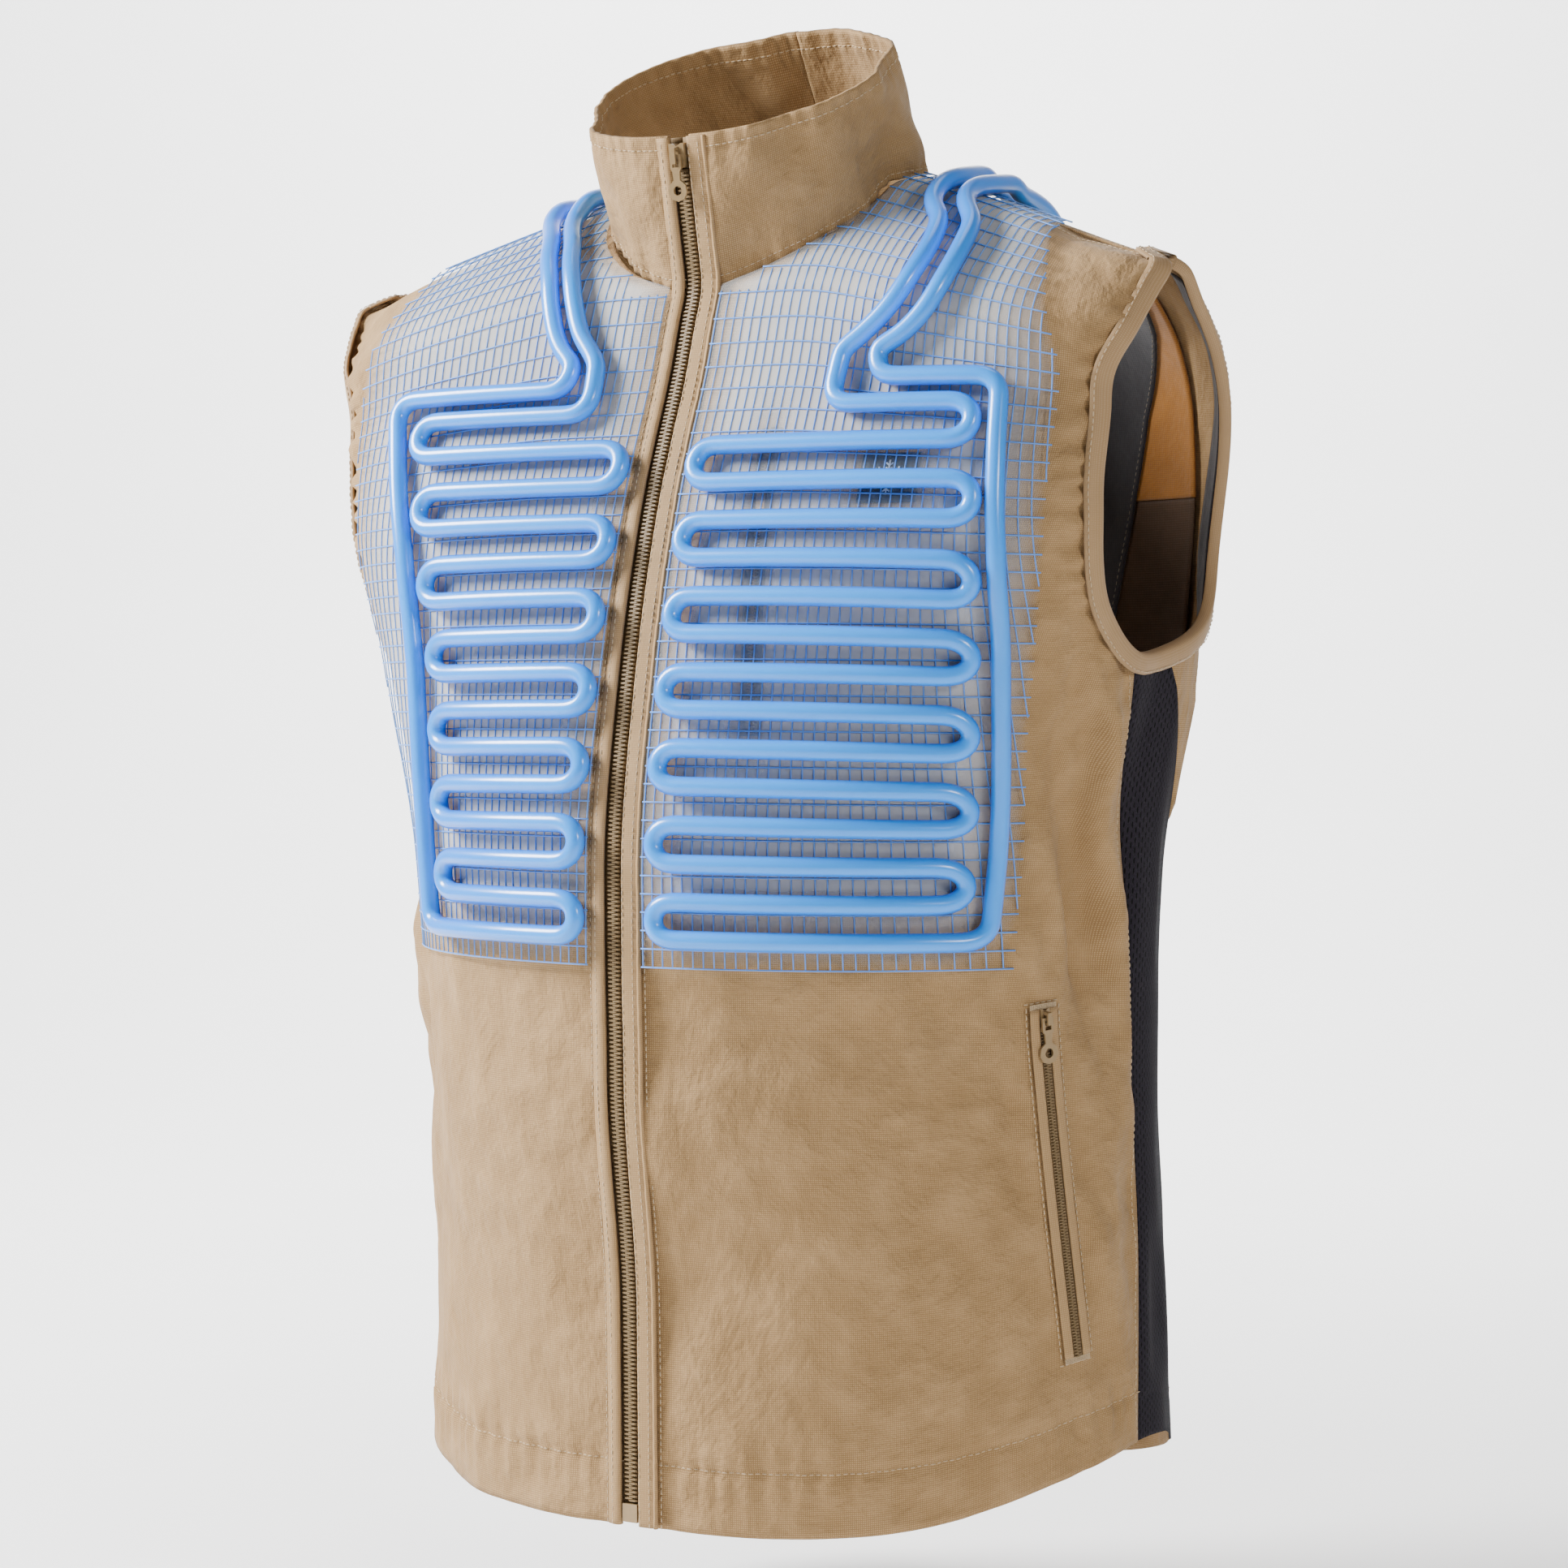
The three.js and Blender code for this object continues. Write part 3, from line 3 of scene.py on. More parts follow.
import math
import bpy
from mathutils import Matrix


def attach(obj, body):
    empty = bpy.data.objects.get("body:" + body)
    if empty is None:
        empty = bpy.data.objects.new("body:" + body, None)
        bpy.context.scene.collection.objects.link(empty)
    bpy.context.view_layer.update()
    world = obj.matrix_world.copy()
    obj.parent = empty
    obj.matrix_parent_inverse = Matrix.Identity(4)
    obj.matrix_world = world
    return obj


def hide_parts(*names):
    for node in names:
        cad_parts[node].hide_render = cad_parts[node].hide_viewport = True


bl_info = {
    "name": "Cooling vest",
    "version": (1, 0, 0),
    "blender": (4, 5, 0),
    "location": "3D View > Sidebar > Vest",
    "description": "Cloth, hoses, zips, stitches and finishes of a cooling work vest",
    "category": "Object",
}

import bpy
import numpy as np
from bpy.props import FloatProperty, FloatVectorProperty, IntProperty, PointerProperty

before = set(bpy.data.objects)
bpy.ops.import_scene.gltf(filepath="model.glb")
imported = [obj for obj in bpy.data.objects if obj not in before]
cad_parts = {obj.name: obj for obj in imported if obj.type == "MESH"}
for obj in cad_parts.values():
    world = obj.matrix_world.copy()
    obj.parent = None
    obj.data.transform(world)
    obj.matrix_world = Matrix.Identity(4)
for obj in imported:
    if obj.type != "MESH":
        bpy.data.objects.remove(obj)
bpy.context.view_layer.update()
SHELL = "vest"

# ---------------------------------------------------------------- the vest's shape, in millimetres

LENGTH, HALF_WIDTH, FRONT_DEPTH, BACK_DEPTH = 670, 200, 176, 100
SHOULDER_START, SHOULDER_REACH, SHOULDER_DROP, SHOULDER_FORWARD = 72, 219, 54, 46
HEM_RISE, HEM_RISE_REACH = 38, 300
CLOTH, FOLD = 1.2, 6
NECK_HALF, NECK_FRONT, NECK_BACK, NECK_SQUARE = 78, 102, 46, 2.4
COLLAR_HALF, COLLAR_FRONT, COLLAR_BACK, COLLAR_SQUARE = 81, 118, -4, 2.2
COLLAR_FRONT_TOP, COLLAR_BACK_TOP, COLLAR_THICK, COLLAR_BOW = 11, 78, 2.2, 1.5
ARM_HALF_DEPTH, ARM_HALF_HEIGHT, ARM_CENTRE, ARM_LEVEL = 71, 91, -21, -154
BINDING_WIDTH, BINDING_THICK, BINDING_GAP, BINDING_LIP, BINDING_TUCK = 9, 1.2, 1.9, 1.5, 3
SEAM_RISE, ZIP_OPENING, BACK_SEAM_TURN = 0.964, 6, 14.1
PANEL_LIFT, PANEL_THICK, PANEL_REACH, PANEL_BOTTOM = 2.6, 0.8, 200, 395
HOSE_PITCH, HOSE_ROWS, HOSE_REACH, HOSE_FALL = 18, 15, 184, 117

# Level sections from hem to shoulder ridge
SECTIONS = (
    ("height", "width", "front", "back", "front_square", "back_square", "slope", "forward"),
    (0.000, 1.015, 0.915, 1.34, 2.05, 2.1, 0.00, 0.00),
    (0.164, 1.004, 0.925, 1.17, 2.05, 2.1, 0.00, 0.00),
    (0.328, 0.988, 0.990, 1.00, 2.05, 2.2, 0.00, 0.00),
    (0.478, 1.005, 1.000, 0.94, 2.15, 2.3, 0.00, 0.00),
    (0.627, 1.090, 0.922, 1.02, 2.60, 2.4, 0.00, 0.00),
    (0.746, 1.145, 0.806, 1.08, 3.80, 2.5, 0.10, 0.03),
    (0.836, 1.170, 0.672, 1.03, 4.30, 2.6, 0.35, 0.15),
    (0.910, 1.185, 0.570, 0.88, 4.30, 2.8, 0.65, 0.45),
    (0.965, 1.190, 0.340, 0.58, 4.00, 3.2, 0.88, 0.85),
    (0.991, 1.190, 0.190, 0.34, 4.00, 3.6, 0.97, 0.97),
    (1.000, 1.190, 0.000, 0.00, 4.00, 4.0, 1.00, 1.00),
)
# Armhole outline in side view, from its lowest point round the front
ARMHOLE = np.array([
    (0.34, -1.00), (0.72, -0.79), (0.92, -0.50), (1.00, -0.13), (0.97, 0.25), (0.92, 0.57), (0.62, 0.93),
    (0.35, 1.09), (-0.06, 0.84), (-0.46, 0.56), (-0.77, 0.23), (-0.97, -0.13), (-0.95, -0.48),
    (-0.68, -0.77), (-0.18, -0.95)])
SIDE_SEAMS = (("height", "front", "back"), (0.00, -0.07, 0.30), (0.20, -0.05, 0.29), (0.37, -0.07, 0.26),
              (0.52, -0.14, 0.15), (0.63, -0.23, 0.00))
PANEL_EDGE = (("height", "across"), (0.400, 0.855), (0.550, 0.905), (0.640, 0.950), (0.730, 0.995),
              (0.860, 1.015), (0.930, 0.970), (1.000, 0.890))
# Main folds: place as a share of a half turn and of the length, then size, lean in degrees and depth
FOLDS = (
    (0.435, 0.500, 0.140, 0.030, 8, -0.9), (0.385, 0.450, 0.080, 0.030, 12, 0.5),
    (0.190, 0.360, 0.120, 0.026, 88, -0.6), (0.140, 0.030, 0.080, 0.045, 0, 0.6),
    (0.270, 0.020, 0.070, 0.045, 0, -0.6), (-0.430, 0.500, 0.150, 0.030, -9, -0.8),
    (-0.385, 0.440, 0.090, 0.030, -12, 0.6), (-0.180, 0.030, 0.080, 0.045, 0, 0.6),
    (0.740, 0.370, 0.100, 0.045, 40, -1.1), (-0.720, 0.350, 0.100, 0.045, -38, -1.1),
    (0.860, 0.300, 0.100, 0.040, 52, 0.9), (-0.880, 0.240, 0.100, 0.040, -48, 0.9),
    (0.700, 0.060, 0.110, 0.045, 0, 0.9), (-0.720, 0.070, 0.110, 0.045, 0, 0.9))
# Soft dents of the collar: round its length, up its height, spread and depth
COLLAR_DENTS = ((0.20, 0.45, 0.030, -3.0), (0.14, 0.60, 0.025, 2.2), (0.27, 0.55, 0.030, 2.2),
                (0.80, 0.50, 0.030, -2.5), (0.55, 0.50, 0.045, -1.8))


def curve(rows):
    """A smooth curve through a table's rows by its first column, without overshoot."""
    names, table = rows[0][1:], np.array(rows[1:], float)
    at, value = table[:, 0], table[:, 1:]
    steep = (value[1:] - value[:-1]) / (at[1:] - at[:-1])[:, None]
    slope = np.zeros_like(value)
    slope[0], slope[-1] = steep[0], steep[-1]
    both = steep[:-1] * steep[1:]
    total = np.where(both > 0, steep[:-1] + steep[1:], 1)
    slope[1:-1] = np.where(both > 0, 2 * both / total, 0)

    def read(v):
        v = np.asarray(v, float)
        i = np.clip(np.searchsorted(at, v, side="right") - 1, 0, len(at) - 2)
        span = (at[i + 1] - at[i])
        u = np.clip((v - at[i]) / span, 0, 1)[..., None]
        span = span[..., None]
        mix = ((2 * u**3 - 3 * u**2 + 1) * value[i] + (u**3 - 2 * u**2 + u) * span * slope[i]
               + (-2 * u**3 + 3 * u**2) * value[i + 1] + (u**3 - u**2) * span * slope[i + 1])
        return {name: mix[..., k] for k, name in enumerate(names)}

    return read


# The sections are spaced evenly in rise, which runs from hem (0) to shoulder ridge (1)
section = curve((("rise",) + SECTIONS[0],) + tuple(
    (i / (len(SECTIONS) - 2),) + row for i, row in enumerate(SECTIONS[1:])))
side_seams = curve(SIDE_SEAMS)
panel_edge = curve(PANEL_EDGE)


def unit(v):
    return v / np.maximum(np.linalg.norm(v, axis=-1, keepdims=True), 1e-12)


def solve(low, high, rising, rounds=30):
    """Where a rising function crosses zero, for whole arrays at once."""
    a, b = np.array(low, float), np.array(high, float)
    for _ in range(rounds):
        middle = (a + b) / 2
        over = rising(middle) > 0
        a, b = np.where(over, a, middle), np.where(over, middle, b)
    return (a + b) / 2


def body(angle, rise):
    """The smooth body surface: angle 0 is centre front, a rise past 1 comes down the back."""
    angle, rise = np.broadcast_arrays(np.asarray(angle, float), np.asarray(rise, float))
    over, sign = rise > 1, np.where(angle < 0, -1, 1)
    angle = np.where(over, sign * np.pi - angle, angle)
    rise = np.where(over, 2 - rise, rise)
    row = section(rise)
    cosine, sine = np.cos(angle), np.sin(angle)
    front = cosine >= 0
    square = np.where(front, row["front_square"], row["back_square"])
    s, c = np.abs(sine), np.abs(cosine)
    spread = (s**square + c**square) ** (1 / square)
    across = row["width"] * HALF_WIDTH * s / spread
    share = (across - SHOULDER_START) / (SHOULDER_REACH - SHOULDER_START)
    out = (share + np.hypot(share, 0.1)) / 2 - 0.05
    depth = np.where(front, -row["front"] * FRONT_DEPTH, row["back"] * BACK_DEPTH)
    level = row["height"] * LENGTH
    lift = HEM_RISE * (s / spread) ** 5 * np.maximum(0, 1 - level / HEM_RISE_REACH) ** 2
    return np.stack([np.sign(sine) * across, depth * c / spread - row["forward"] * SHOULDER_FORWARD * out,
                     level - LENGTH - row["slope"] * SHOULDER_DROP * out + lift], -1)


def relief(angle, rise):
    """Height of the main folds above the smooth surface."""
    over, sign = rise > 1, np.where(angle < 0, -1, 1)
    turn = np.where(over, sign * np.pi - angle, angle) / np.pi
    level = section(np.where(over, 2 - rise, rise))["height"]
    height = 0
    for at_turn, at_height, length, width, lean, depth in FOLDS:
        apart = turn - at_turn
        u = (apart - 2 * np.round(apart / 2)) * np.pi * HALF_WIDTH
        v = (level - at_height) * LENGTH
        k = math.radians(lean)
        along = (v * math.cos(k) + u * math.sin(k)) / (length * LENGTH)
        beside = (u * math.cos(k) - v * math.sin(k)) / (width * LENGTH)
        height = height + depth * FOLD * np.exp(-along * along - beside * beside)
    return height


def cloth(angle, rise, lift=0.0):
    """Points of the cloth and their outward normals."""
    angle, rise = np.broadcast_arrays(np.asarray(angle, float), np.asarray(rise, float))
    sideways = body(angle + 0.004, rise) - body(angle - 0.004, rise)
    upward = body(angle, np.minimum(rise + 0.003, 2)) - body(angle, np.maximum(rise - 0.003, 0))
    normal = unit(np.cross(sideways, upward))
    return body(angle, rise) + normal * (relief(angle, rise) + lift)[..., None], normal


def angle_across(across, rise, front=True):
    row = section(rise)
    square = row["front_square"] if front else row["back_square"]
    share = np.clip(across / (row["width"] * HALF_WIDTH), 0, 0.9999)
    angle = np.arctan2(share, (1 - share**square) ** (1 / square))
    return angle if front else np.pi - angle


def angle_behind(behind, rise):
    zero = np.zeros(np.shape(rise + behind))
    return solve(zero, zero + np.pi, lambda a: body(a, rise)[..., 1] - behind)


def spot_behind(behind, level):
    """The spot with that distance behind the origin and that level."""
    zero = np.zeros(np.shape(behind + level))

    def rise_at(angle):
        return solve(zero, zero + 1, lambda r: body(angle, r)[..., 2] - level, 20)

    angle = solve(zero, zero + np.pi, lambda a: body(a, rise_at(a))[..., 1] - behind, 20)
    return angle, rise_at(angle)


def spot_across(across, level, front=True):
    """The spot with that distance from centre front and that level."""
    across, level = np.broadcast_arrays(np.asarray(across, float), np.asarray(level, float))
    zero = np.zeros(across.shape)
    rise = solve(zero, zero + 1, lambda r: body(angle_across(across, r, front), r)[..., 2] - level)
    return angle_across(across, rise, front), rise


def armhole_edge(turn):
    at = np.asarray(turn, float) % len(ARMHOLE)
    i = np.floor(at).astype(int)
    u = (at - i)[..., None]
    a, b, c, d = (ARMHOLE[(i + step) % len(ARMHOLE)] for step in (-1, 0, 1, 2))
    place = b + 0.5 * u * (c - a + u * (2 * a - 5 * b + 4 * c - d + u * (3 * (b - c) + d - a)))
    return spot_behind(ARM_CENTRE - place[..., 0] * ARM_HALF_DEPTH,
                       ARM_LEVEL + place[..., 1] * ARM_HALF_HEIGHT)


def moved(angle, rise, shift):
    """A spot moved over the surface by a small shift, and past the ridge onto the other side."""
    step = 0.002
    a = (body(angle + step, rise) - body(angle - step, rise)) / (2 * step)
    b = (body(angle, rise + step) - body(angle, rise - step)) / (2 * step)
    aa, ab, bb = (a * a).sum(-1), (a * b).sum(-1), (b * b).sum(-1)
    along, up = (a * shift).sum(-1), (b * shift).sum(-1)
    area = aa * bb - ab * ab
    angle, rise = angle + (along * bb - up * ab) / area, rise + (up * aa - along * ab) / area
    over = rise > 1
    return np.where(over, np.pi - angle, angle), np.where(over, 2 - rise, rise)


def armhole(turn, away=0.0):
    """Spots a given distance over the cloth from the armhole edge, away from the opening."""
    turn = np.asarray(turn, float)
    along = unit(body(*armhole_edge(turn + 0.02)) - body(*armhole_edge(turn - 0.02)))
    angle, rise = armhole_edge(turn)
    strides = max(1, math.ceil(away / 3))
    for _ in range(strides if away else 0):
        push = unit(np.cross(cloth(angle, rise)[1], along)) * (away / strides)
        angle, rise = moved(angle, rise, push)
    return angle, rise


def neck_oval(turn):
    s, c = np.abs(np.sin(turn)), np.abs(np.cos(turn))
    spread = (s**NECK_SQUARE + c**NECK_SQUARE) ** (1 / NECK_SQUARE)
    middle, reach = (NECK_BACK - NECK_FRONT) / 2, (NECK_BACK + NECK_FRONT) / 2
    return NECK_HALF * s / spread, middle - reach * np.sign(np.cos(turn)) * c / spread


def neck_at(rise, front=True):
    """The neckline's angle and turn at a rise, in front of the ridge or behind it."""
    zero = np.zeros(np.shape(rise))

    def miss(turn):
        across, behind = neck_oval(turn)
        return behind - body(angle_across(across, rise, front), rise)[..., 1]

    turn = solve(zero, zero + np.pi, miss)
    return angle_across(neck_oval(turn)[0], rise, front), turn


def neck_rise(turn):
    across, behind = neck_oval(turn)
    zero = np.zeros(np.shape(turn))

    def ahead(rise):
        level = np.where(rise <= 1, rise, 2 - rise)
        angle = np.where(rise <= 1, angle_across(across, level), angle_across(across, level, False))
        return body(angle, level)[..., 1] - behind

    return solve(zero + 0.5, zero + 1.5, ahead)


NECK_FRONT_TURN = float(solve(0, 1, lambda t: neck_oval(t)[0] - ZIP_OPENING))
NECK_FRONT_RISE = float(neck_rise(np.array(NECK_FRONT_TURN)))
NECK_BACK_RISE = 2 - float(neck_rise(np.array(np.pi)))


def miss_seam(turn):
    angle, rise = armhole(turn, BINDING_TUCK)
    return np.where(angle < np.pi / 2, rise, 2 - rise) - SEAM_RISE


SEAM_TURN = float(solve(5.5, 7.5, miss_seam, 18))
ARM_TURNS = np.linspace(0, len(ARMHOLE), 241)

# ---------------------------------------------------------------- edges of the cloth panels


def arm_side(low, high, back=False):
    """The armhole edge between two turns as rises in order with their angles."""
    keep = (ARM_TURNS > low) & (ARM_TURNS < high)
    turns = np.concatenate([[low], ARM_TURNS[keep], [high]])
    angle, rise = armhole(turns, BINDING_TUCK)
    if back:
        over = (angle < np.pi / 2) & (rise > SEAM_RISE - 0.006)
        rise = np.where(over, 2 - rise, rise)
        angle = np.where(rise > 1, np.pi - angle, angle)
    order = np.argsort(rise)
    return rise[order], angle[order]


FRONT_ARM = arm_side(0, SEAM_TURN)
BACK_ARM = arm_side(SEAM_TURN, BACK_SEAM_TURN, True)
ARM_BOTTOM = (FRONT_ARM[1][0], FRONT_ARM[0][0])
BACK_BOTTOM = (BACK_ARM[1][0], BACK_ARM[0][0])


def seam_angle(column, rise, end):
    """A side seam's angle, bent to meet the armhole at its end."""
    def plain(at):
        at = np.asarray(at, float)
        return angle_behind(side_seams(section(at)["height"])[column] * HALF_WIDTH, at)

    end_angle, end_rise = end
    return plain(rise) + (end_angle - plain(end_rise)) * (rise / end_rise) ** 4


def front_outer(rise):
    low = seam_angle("front", np.minimum(rise, ARM_BOTTOM[1]), ARM_BOTTOM)
    return np.where(rise < ARM_BOTTOM[1], low, np.interp(rise, *FRONT_ARM))


def front_inner(rise):
    high = neck_at(np.maximum(rise, NECK_FRONT_RISE))[0]
    return np.where(rise < NECK_FRONT_RISE, angle_across(ZIP_OPENING, rise), high)


def back_outer(rise):
    low = seam_angle("back", np.minimum(rise, BACK_BOTTOM[1]), BACK_BOTTOM)
    return np.where(rise < BACK_BOTTOM[1], low, np.interp(rise, *BACK_ARM))


def back_inner(rise):
    behind = neck_at(np.clip(rise, NECK_BACK_RISE, 1), False)[0]
    ahead = np.pi - neck_at(np.clip(2 - rise, 0.5, 1))[0]
    return np.where(rise <= NECK_BACK_RISE, np.pi, np.where(rise > 1, ahead, behind))


RISE_ROW = np.linspace(0, 2, 401)
RISE_LINE = body(0.25 * np.pi, RISE_ROW)
RISE_LENGTH = np.concatenate([[0], np.cumsum(np.linalg.norm(np.diff(RISE_LINE, axis=0), axis=1))])


def flat_place(angle, rise):
    """The place on the flat cloth in millimetres: round the body and up it."""
    over = rise > 1
    turn = np.where(over, np.sign(angle) * np.pi - angle, angle)
    return turn * HALF_WIDTH, np.interp(rise, RISE_ROW, RISE_LENGTH)


def noise(u, v, size, seed, stretch=1.0):
    """Smooth seeded noise from -1 to 1 on a lattice of that size in millimetres."""
    lattice = np.random.default_rng(seed).uniform(-1, 1, (64, 64))
    x, y = np.asarray(u) / size + 1000, np.asarray(v) / (size * stretch) + 1000
    i, j = np.floor(x).astype(int), np.floor(y).astype(int)
    a, b = x - i, y - j
    a, b = a * a * a * (a * (6 * a - 15) + 10), b * b * b * (b * (6 * b - 15) + 10)

    def at(m, n):
        return lattice[(i + m) % 64, (j + n) % 64]

    return (at(0, 0) * (1 - a) + at(1, 0) * a) * (1 - b) + (at(0, 1) * (1 - a) + at(1, 1) * a) * b


def bump(x):
    return np.exp(-np.square(x))


# ---------------------------------------------------------------- mesh makers, millimetres in


def mesh_object(name, points, faces, material, uv=None, smooth=True, body_name=SHELL):
    """A mesh from points in millimetres and lists of faces, riding on a body of the frame."""
    mesh = bpy.data.meshes.new(name)
    mesh.from_pydata((np.asarray(points, float) * 0.001).tolist(), [], faces)
    mesh.polygons.foreach_set("use_smooth", [smooth] * len(mesh.polygons))
    if uv is not None:
        corner = np.zeros(len(mesh.loops), int)
        mesh.loops.foreach_get("vertex_index", corner)
        layer = mesh.uv_layers.new(name="flat_cloth")
        layer.data.foreach_set("uv", (np.asarray(uv, float) * 0.001)[corner].ravel())
    mesh.validate()
    piece = bpy.data.objects.new(name, mesh)
    bpy.context.scene.collection.objects.link(piece)
    piece.data.materials.append(material)
    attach(piece, body_name)
    return piece


def shell(name, patches, thickness, material, body_name=SHELL):
    """Thin closed cloth from patches of (points, normals, flat places): welded, thickened and rimmed."""
    points = np.concatenate([p.reshape(-1, 3) for p, n, f in patches])
    normals = np.concatenate([n.reshape(-1, 3) for p, n, f in patches])
    flats = np.concatenate([f.reshape(-1, 2) for p, n, f in patches])
    quads, start = [], 0
    for p, _, _ in patches:
        rows, columns = p.shape[:2]
        index = start + np.arange(rows * columns).reshape(rows, columns)
        quads.append(np.stack([index[:-1, :-1], index[:-1, 1:], index[1:, 1:], index[1:, :-1]],
                              -1).reshape(-1, 4))
        start += rows * columns
    quads = np.concatenate(quads)
    _, first, back = np.unique(np.round(points * 50).astype(int), axis=0, return_index=True,
                               return_inverse=True)
    quads = back.reshape(-1)[quads]
    points, normals, flats = points[first], normals[first], flats[first]
    outward = np.cross(points[quads[:, 2]] - points[quads[:, 0]], points[quads[:, 3]] - points[quads[:, 1]])
    if (outward * normals[quads[:, 0]]).sum() < 0:
        quads = quads[:, ::-1]
    count = len(points)
    faces = []
    for quad in quads.tolist():
        face = [v for k, v in enumerate(quad) if v != quad[k - 1]]
        if len(set(face)) == len(face) and len(face) > 2:
            faces.append(face)
    once = {}
    for face in faces:
        for k, v in enumerate(face):
            a, b = face[k - 1], v
            if (b, a) in once:
                del once[b, a]
            else:
                once[a, b] = True
    inner = [[v + count for v in reversed(face)] for face in faces]
    rim = [[b, a, a + count, b + count] for a, b in once]
    both = np.concatenate([points, points - normals * thickness])
    return mesh_object(name, both, faces + inner + rim, material, np.concatenate([flats, flats]),
                       body_name=body_name)


def grid_of(rises, columns, inner, outer):
    """Spots between two edges, one row at each rise."""
    share = np.linspace(0, 1, columns + 1)
    low, high = inner(rises)[:, None], outer(rises)[:, None]
    return low + (high - low) * share, np.repeat(rises[:, None], len(share), 1)


def mirror(patch):
    points, normals, flats = (a.copy() for a in patch)
    points[..., 0] *= -1
    normals[..., 0] *= -1
    flats[..., 0] *= -1
    return points, normals, flats


def tubes(name, lines, radius, sides, material, closed=False, body_name=SHELL, squash=1.0, outs=None):
    """Joined round tubes along lines of points, with their length and turn as the flat place."""
    all_points, all_faces, all_flats, start = [], [], [], 0
    for number, line in enumerate(lines):
        line = np.asarray(line, float)
        ahead, behind = np.roll(line, -1, 0), np.roll(line, 1, 0)
        if not closed:
            ahead[-1], behind[0] = line[-1], line[0]
        along = unit(ahead - behind)
        if outs is not None:
            out = outs[number]
            out = unit(out - along * (out * along).sum(1, keepdims=True))
        else:
            out = np.zeros_like(line)
            first = np.array([0.0, 0.0, 1.0]) if abs(along[0][2]) < 0.9 else np.array([1.0, 0.0, 0.0])
            for i in range(len(line)):
                first = unit(first - along[i] * (first @ along[i]))
                out[i] = first
        side = np.cross(along, out)
        turn = np.linspace(0, 2 * np.pi, sides, endpoint=False)
        ring = (line[:, None] + radius * (np.cos(turn)[None, :, None] * side[:, None]
                                          + squash * np.sin(turn)[None, :, None] * out[:, None]))
        length = np.concatenate([[0], np.cumsum(np.linalg.norm(np.diff(line, axis=0), axis=1))])
        flat = np.stack(np.broadcast_arrays(length[:, None], turn[None] * radius), -1)
        n, m = len(line), sides
        index = start + np.arange(n * m).reshape(n, m)
        nxt, around = (np.roll(index, -1, 0), np.roll(index, -1, 1))
        both = np.roll(nxt, -1, 1)
        quad = np.stack([index, around, both, nxt], -1)
        quad = quad if closed else quad[:-1]
        all_faces += quad.reshape(-1, 4).tolist()
        if not closed:
            all_faces += [index[0][::-1].tolist(), index[-1].tolist()]
        all_points.append(ring.reshape(-1, 3))
        all_flats.append(flat.reshape(-1, 2))
        start += n * m
    return mesh_object(name, np.concatenate(all_points), all_faces, material, np.concatenate(all_flats),
                       body_name=body_name)


def resampled(line, pitch):
    """The line's points every so many millimetres, with any columns beyond the first three carried along."""
    line = np.asarray(line, float)
    length = np.concatenate([[0], np.cumsum(np.linalg.norm(np.diff(line[:, :3], axis=0), axis=1))])
    at = np.arange(0, length[-1], pitch)
    return np.stack([np.interp(at, length, line[:, k]) for k in range(line.shape[1])], 1)


STITCH_RINGS = np.array([(-0.5, 0.25, -0.5), (-0.36, 0.85, 0.0), (0.0, 1.0, 0.35), (0.36, 0.85, 0.0),
                         (0.5, 0.25, -0.5)])


def stitches(name, lines, pitch, length, width, material, body_name=SHELL):
    """Joined little thread capsules along lines of points with normals (six columns), sunk at their ends."""
    points, faces, start = [], [], 0
    sides = 5
    turn = np.linspace(0, 2 * np.pi, sides, endpoint=False)
    for line in lines:
        line = resampled(line, pitch)
        if len(line) < 3:
            continue
        place, out = line[:, :3], unit(line[:, 3:6])
        along = unit(np.gradient(place, axis=0))
        out = unit(out - along * (out * along).sum(1, keepdims=True))
        side = np.cross(along, out)
        stack = []
        for at, wide, high in STITCH_RINGS:
            middle = place + along * (at * length) + out * (high * width * 0.45)
            stack.append(middle[:, None] + 0.5 * width * wide * (
                np.cos(turn)[None, :, None] * side[:, None] + np.sin(turn)[None, :, None] * out[:, None]))
        block = np.stack(stack, 1)
        count, rings = len(place), len(STITCH_RINGS)
        index = start + np.arange(count * rings * sides).reshape(count, rings, sides)
        quad = np.stack([index[:, :-1], np.roll(index, -1, 2)[:, :-1], np.roll(index, -1, 2)[:, 1:],
                         index[:, 1:]], -1)
        faces += quad.reshape(-1, 4).tolist()
        faces += index[:, 0, ::-1].tolist() + index[:, -1].tolist()
        points.append(block.reshape(-1, 3))
        start += count * rings * sides
    return mesh_object(name, np.concatenate(points), faces, material, body_name=body_name)


def boxes(name, centres, axes, shape, material, body_name=SHELL, bevel=0.0):
    """Joined prisms of one outline: axes are (side, along, out) per piece, shape is (outline, low, high, taper)."""
    outline, low, high, taper = shape
    outline = np.asarray(outline, float)
    side, along, out = axes
    layers = ((low, 1.0), (low + (high - low) * (1 - bevel), 1.0),
              (high, taper)) if bevel else ((low, 1.0), (high, taper))
    stack = []
    for level, scale in layers:
        stack.append(centres[:, None] + outline[None, :, 0, None] * scale * side[:, None]
                     + outline[None, :, 1, None] * scale * along[:, None] + level * out[:, None])
    block = np.stack(stack, 1)
    count, rings, sides = block.shape[:3]
    index = np.arange(count * rings * sides).reshape(count, rings, sides)
    quad = np.stack([index[:, :-1], np.roll(index, -1, 2)[:, :-1], np.roll(index, -1, 2)[:, 1:],
                     index[:, 1:]], -1)
    faces = quad.reshape(-1, 4).tolist() + index[:, 0, ::-1].tolist() + index[:, -1].tolist()
    return mesh_object(name, block.reshape(-1, 3), faces, material, smooth=False, body_name=body_name)


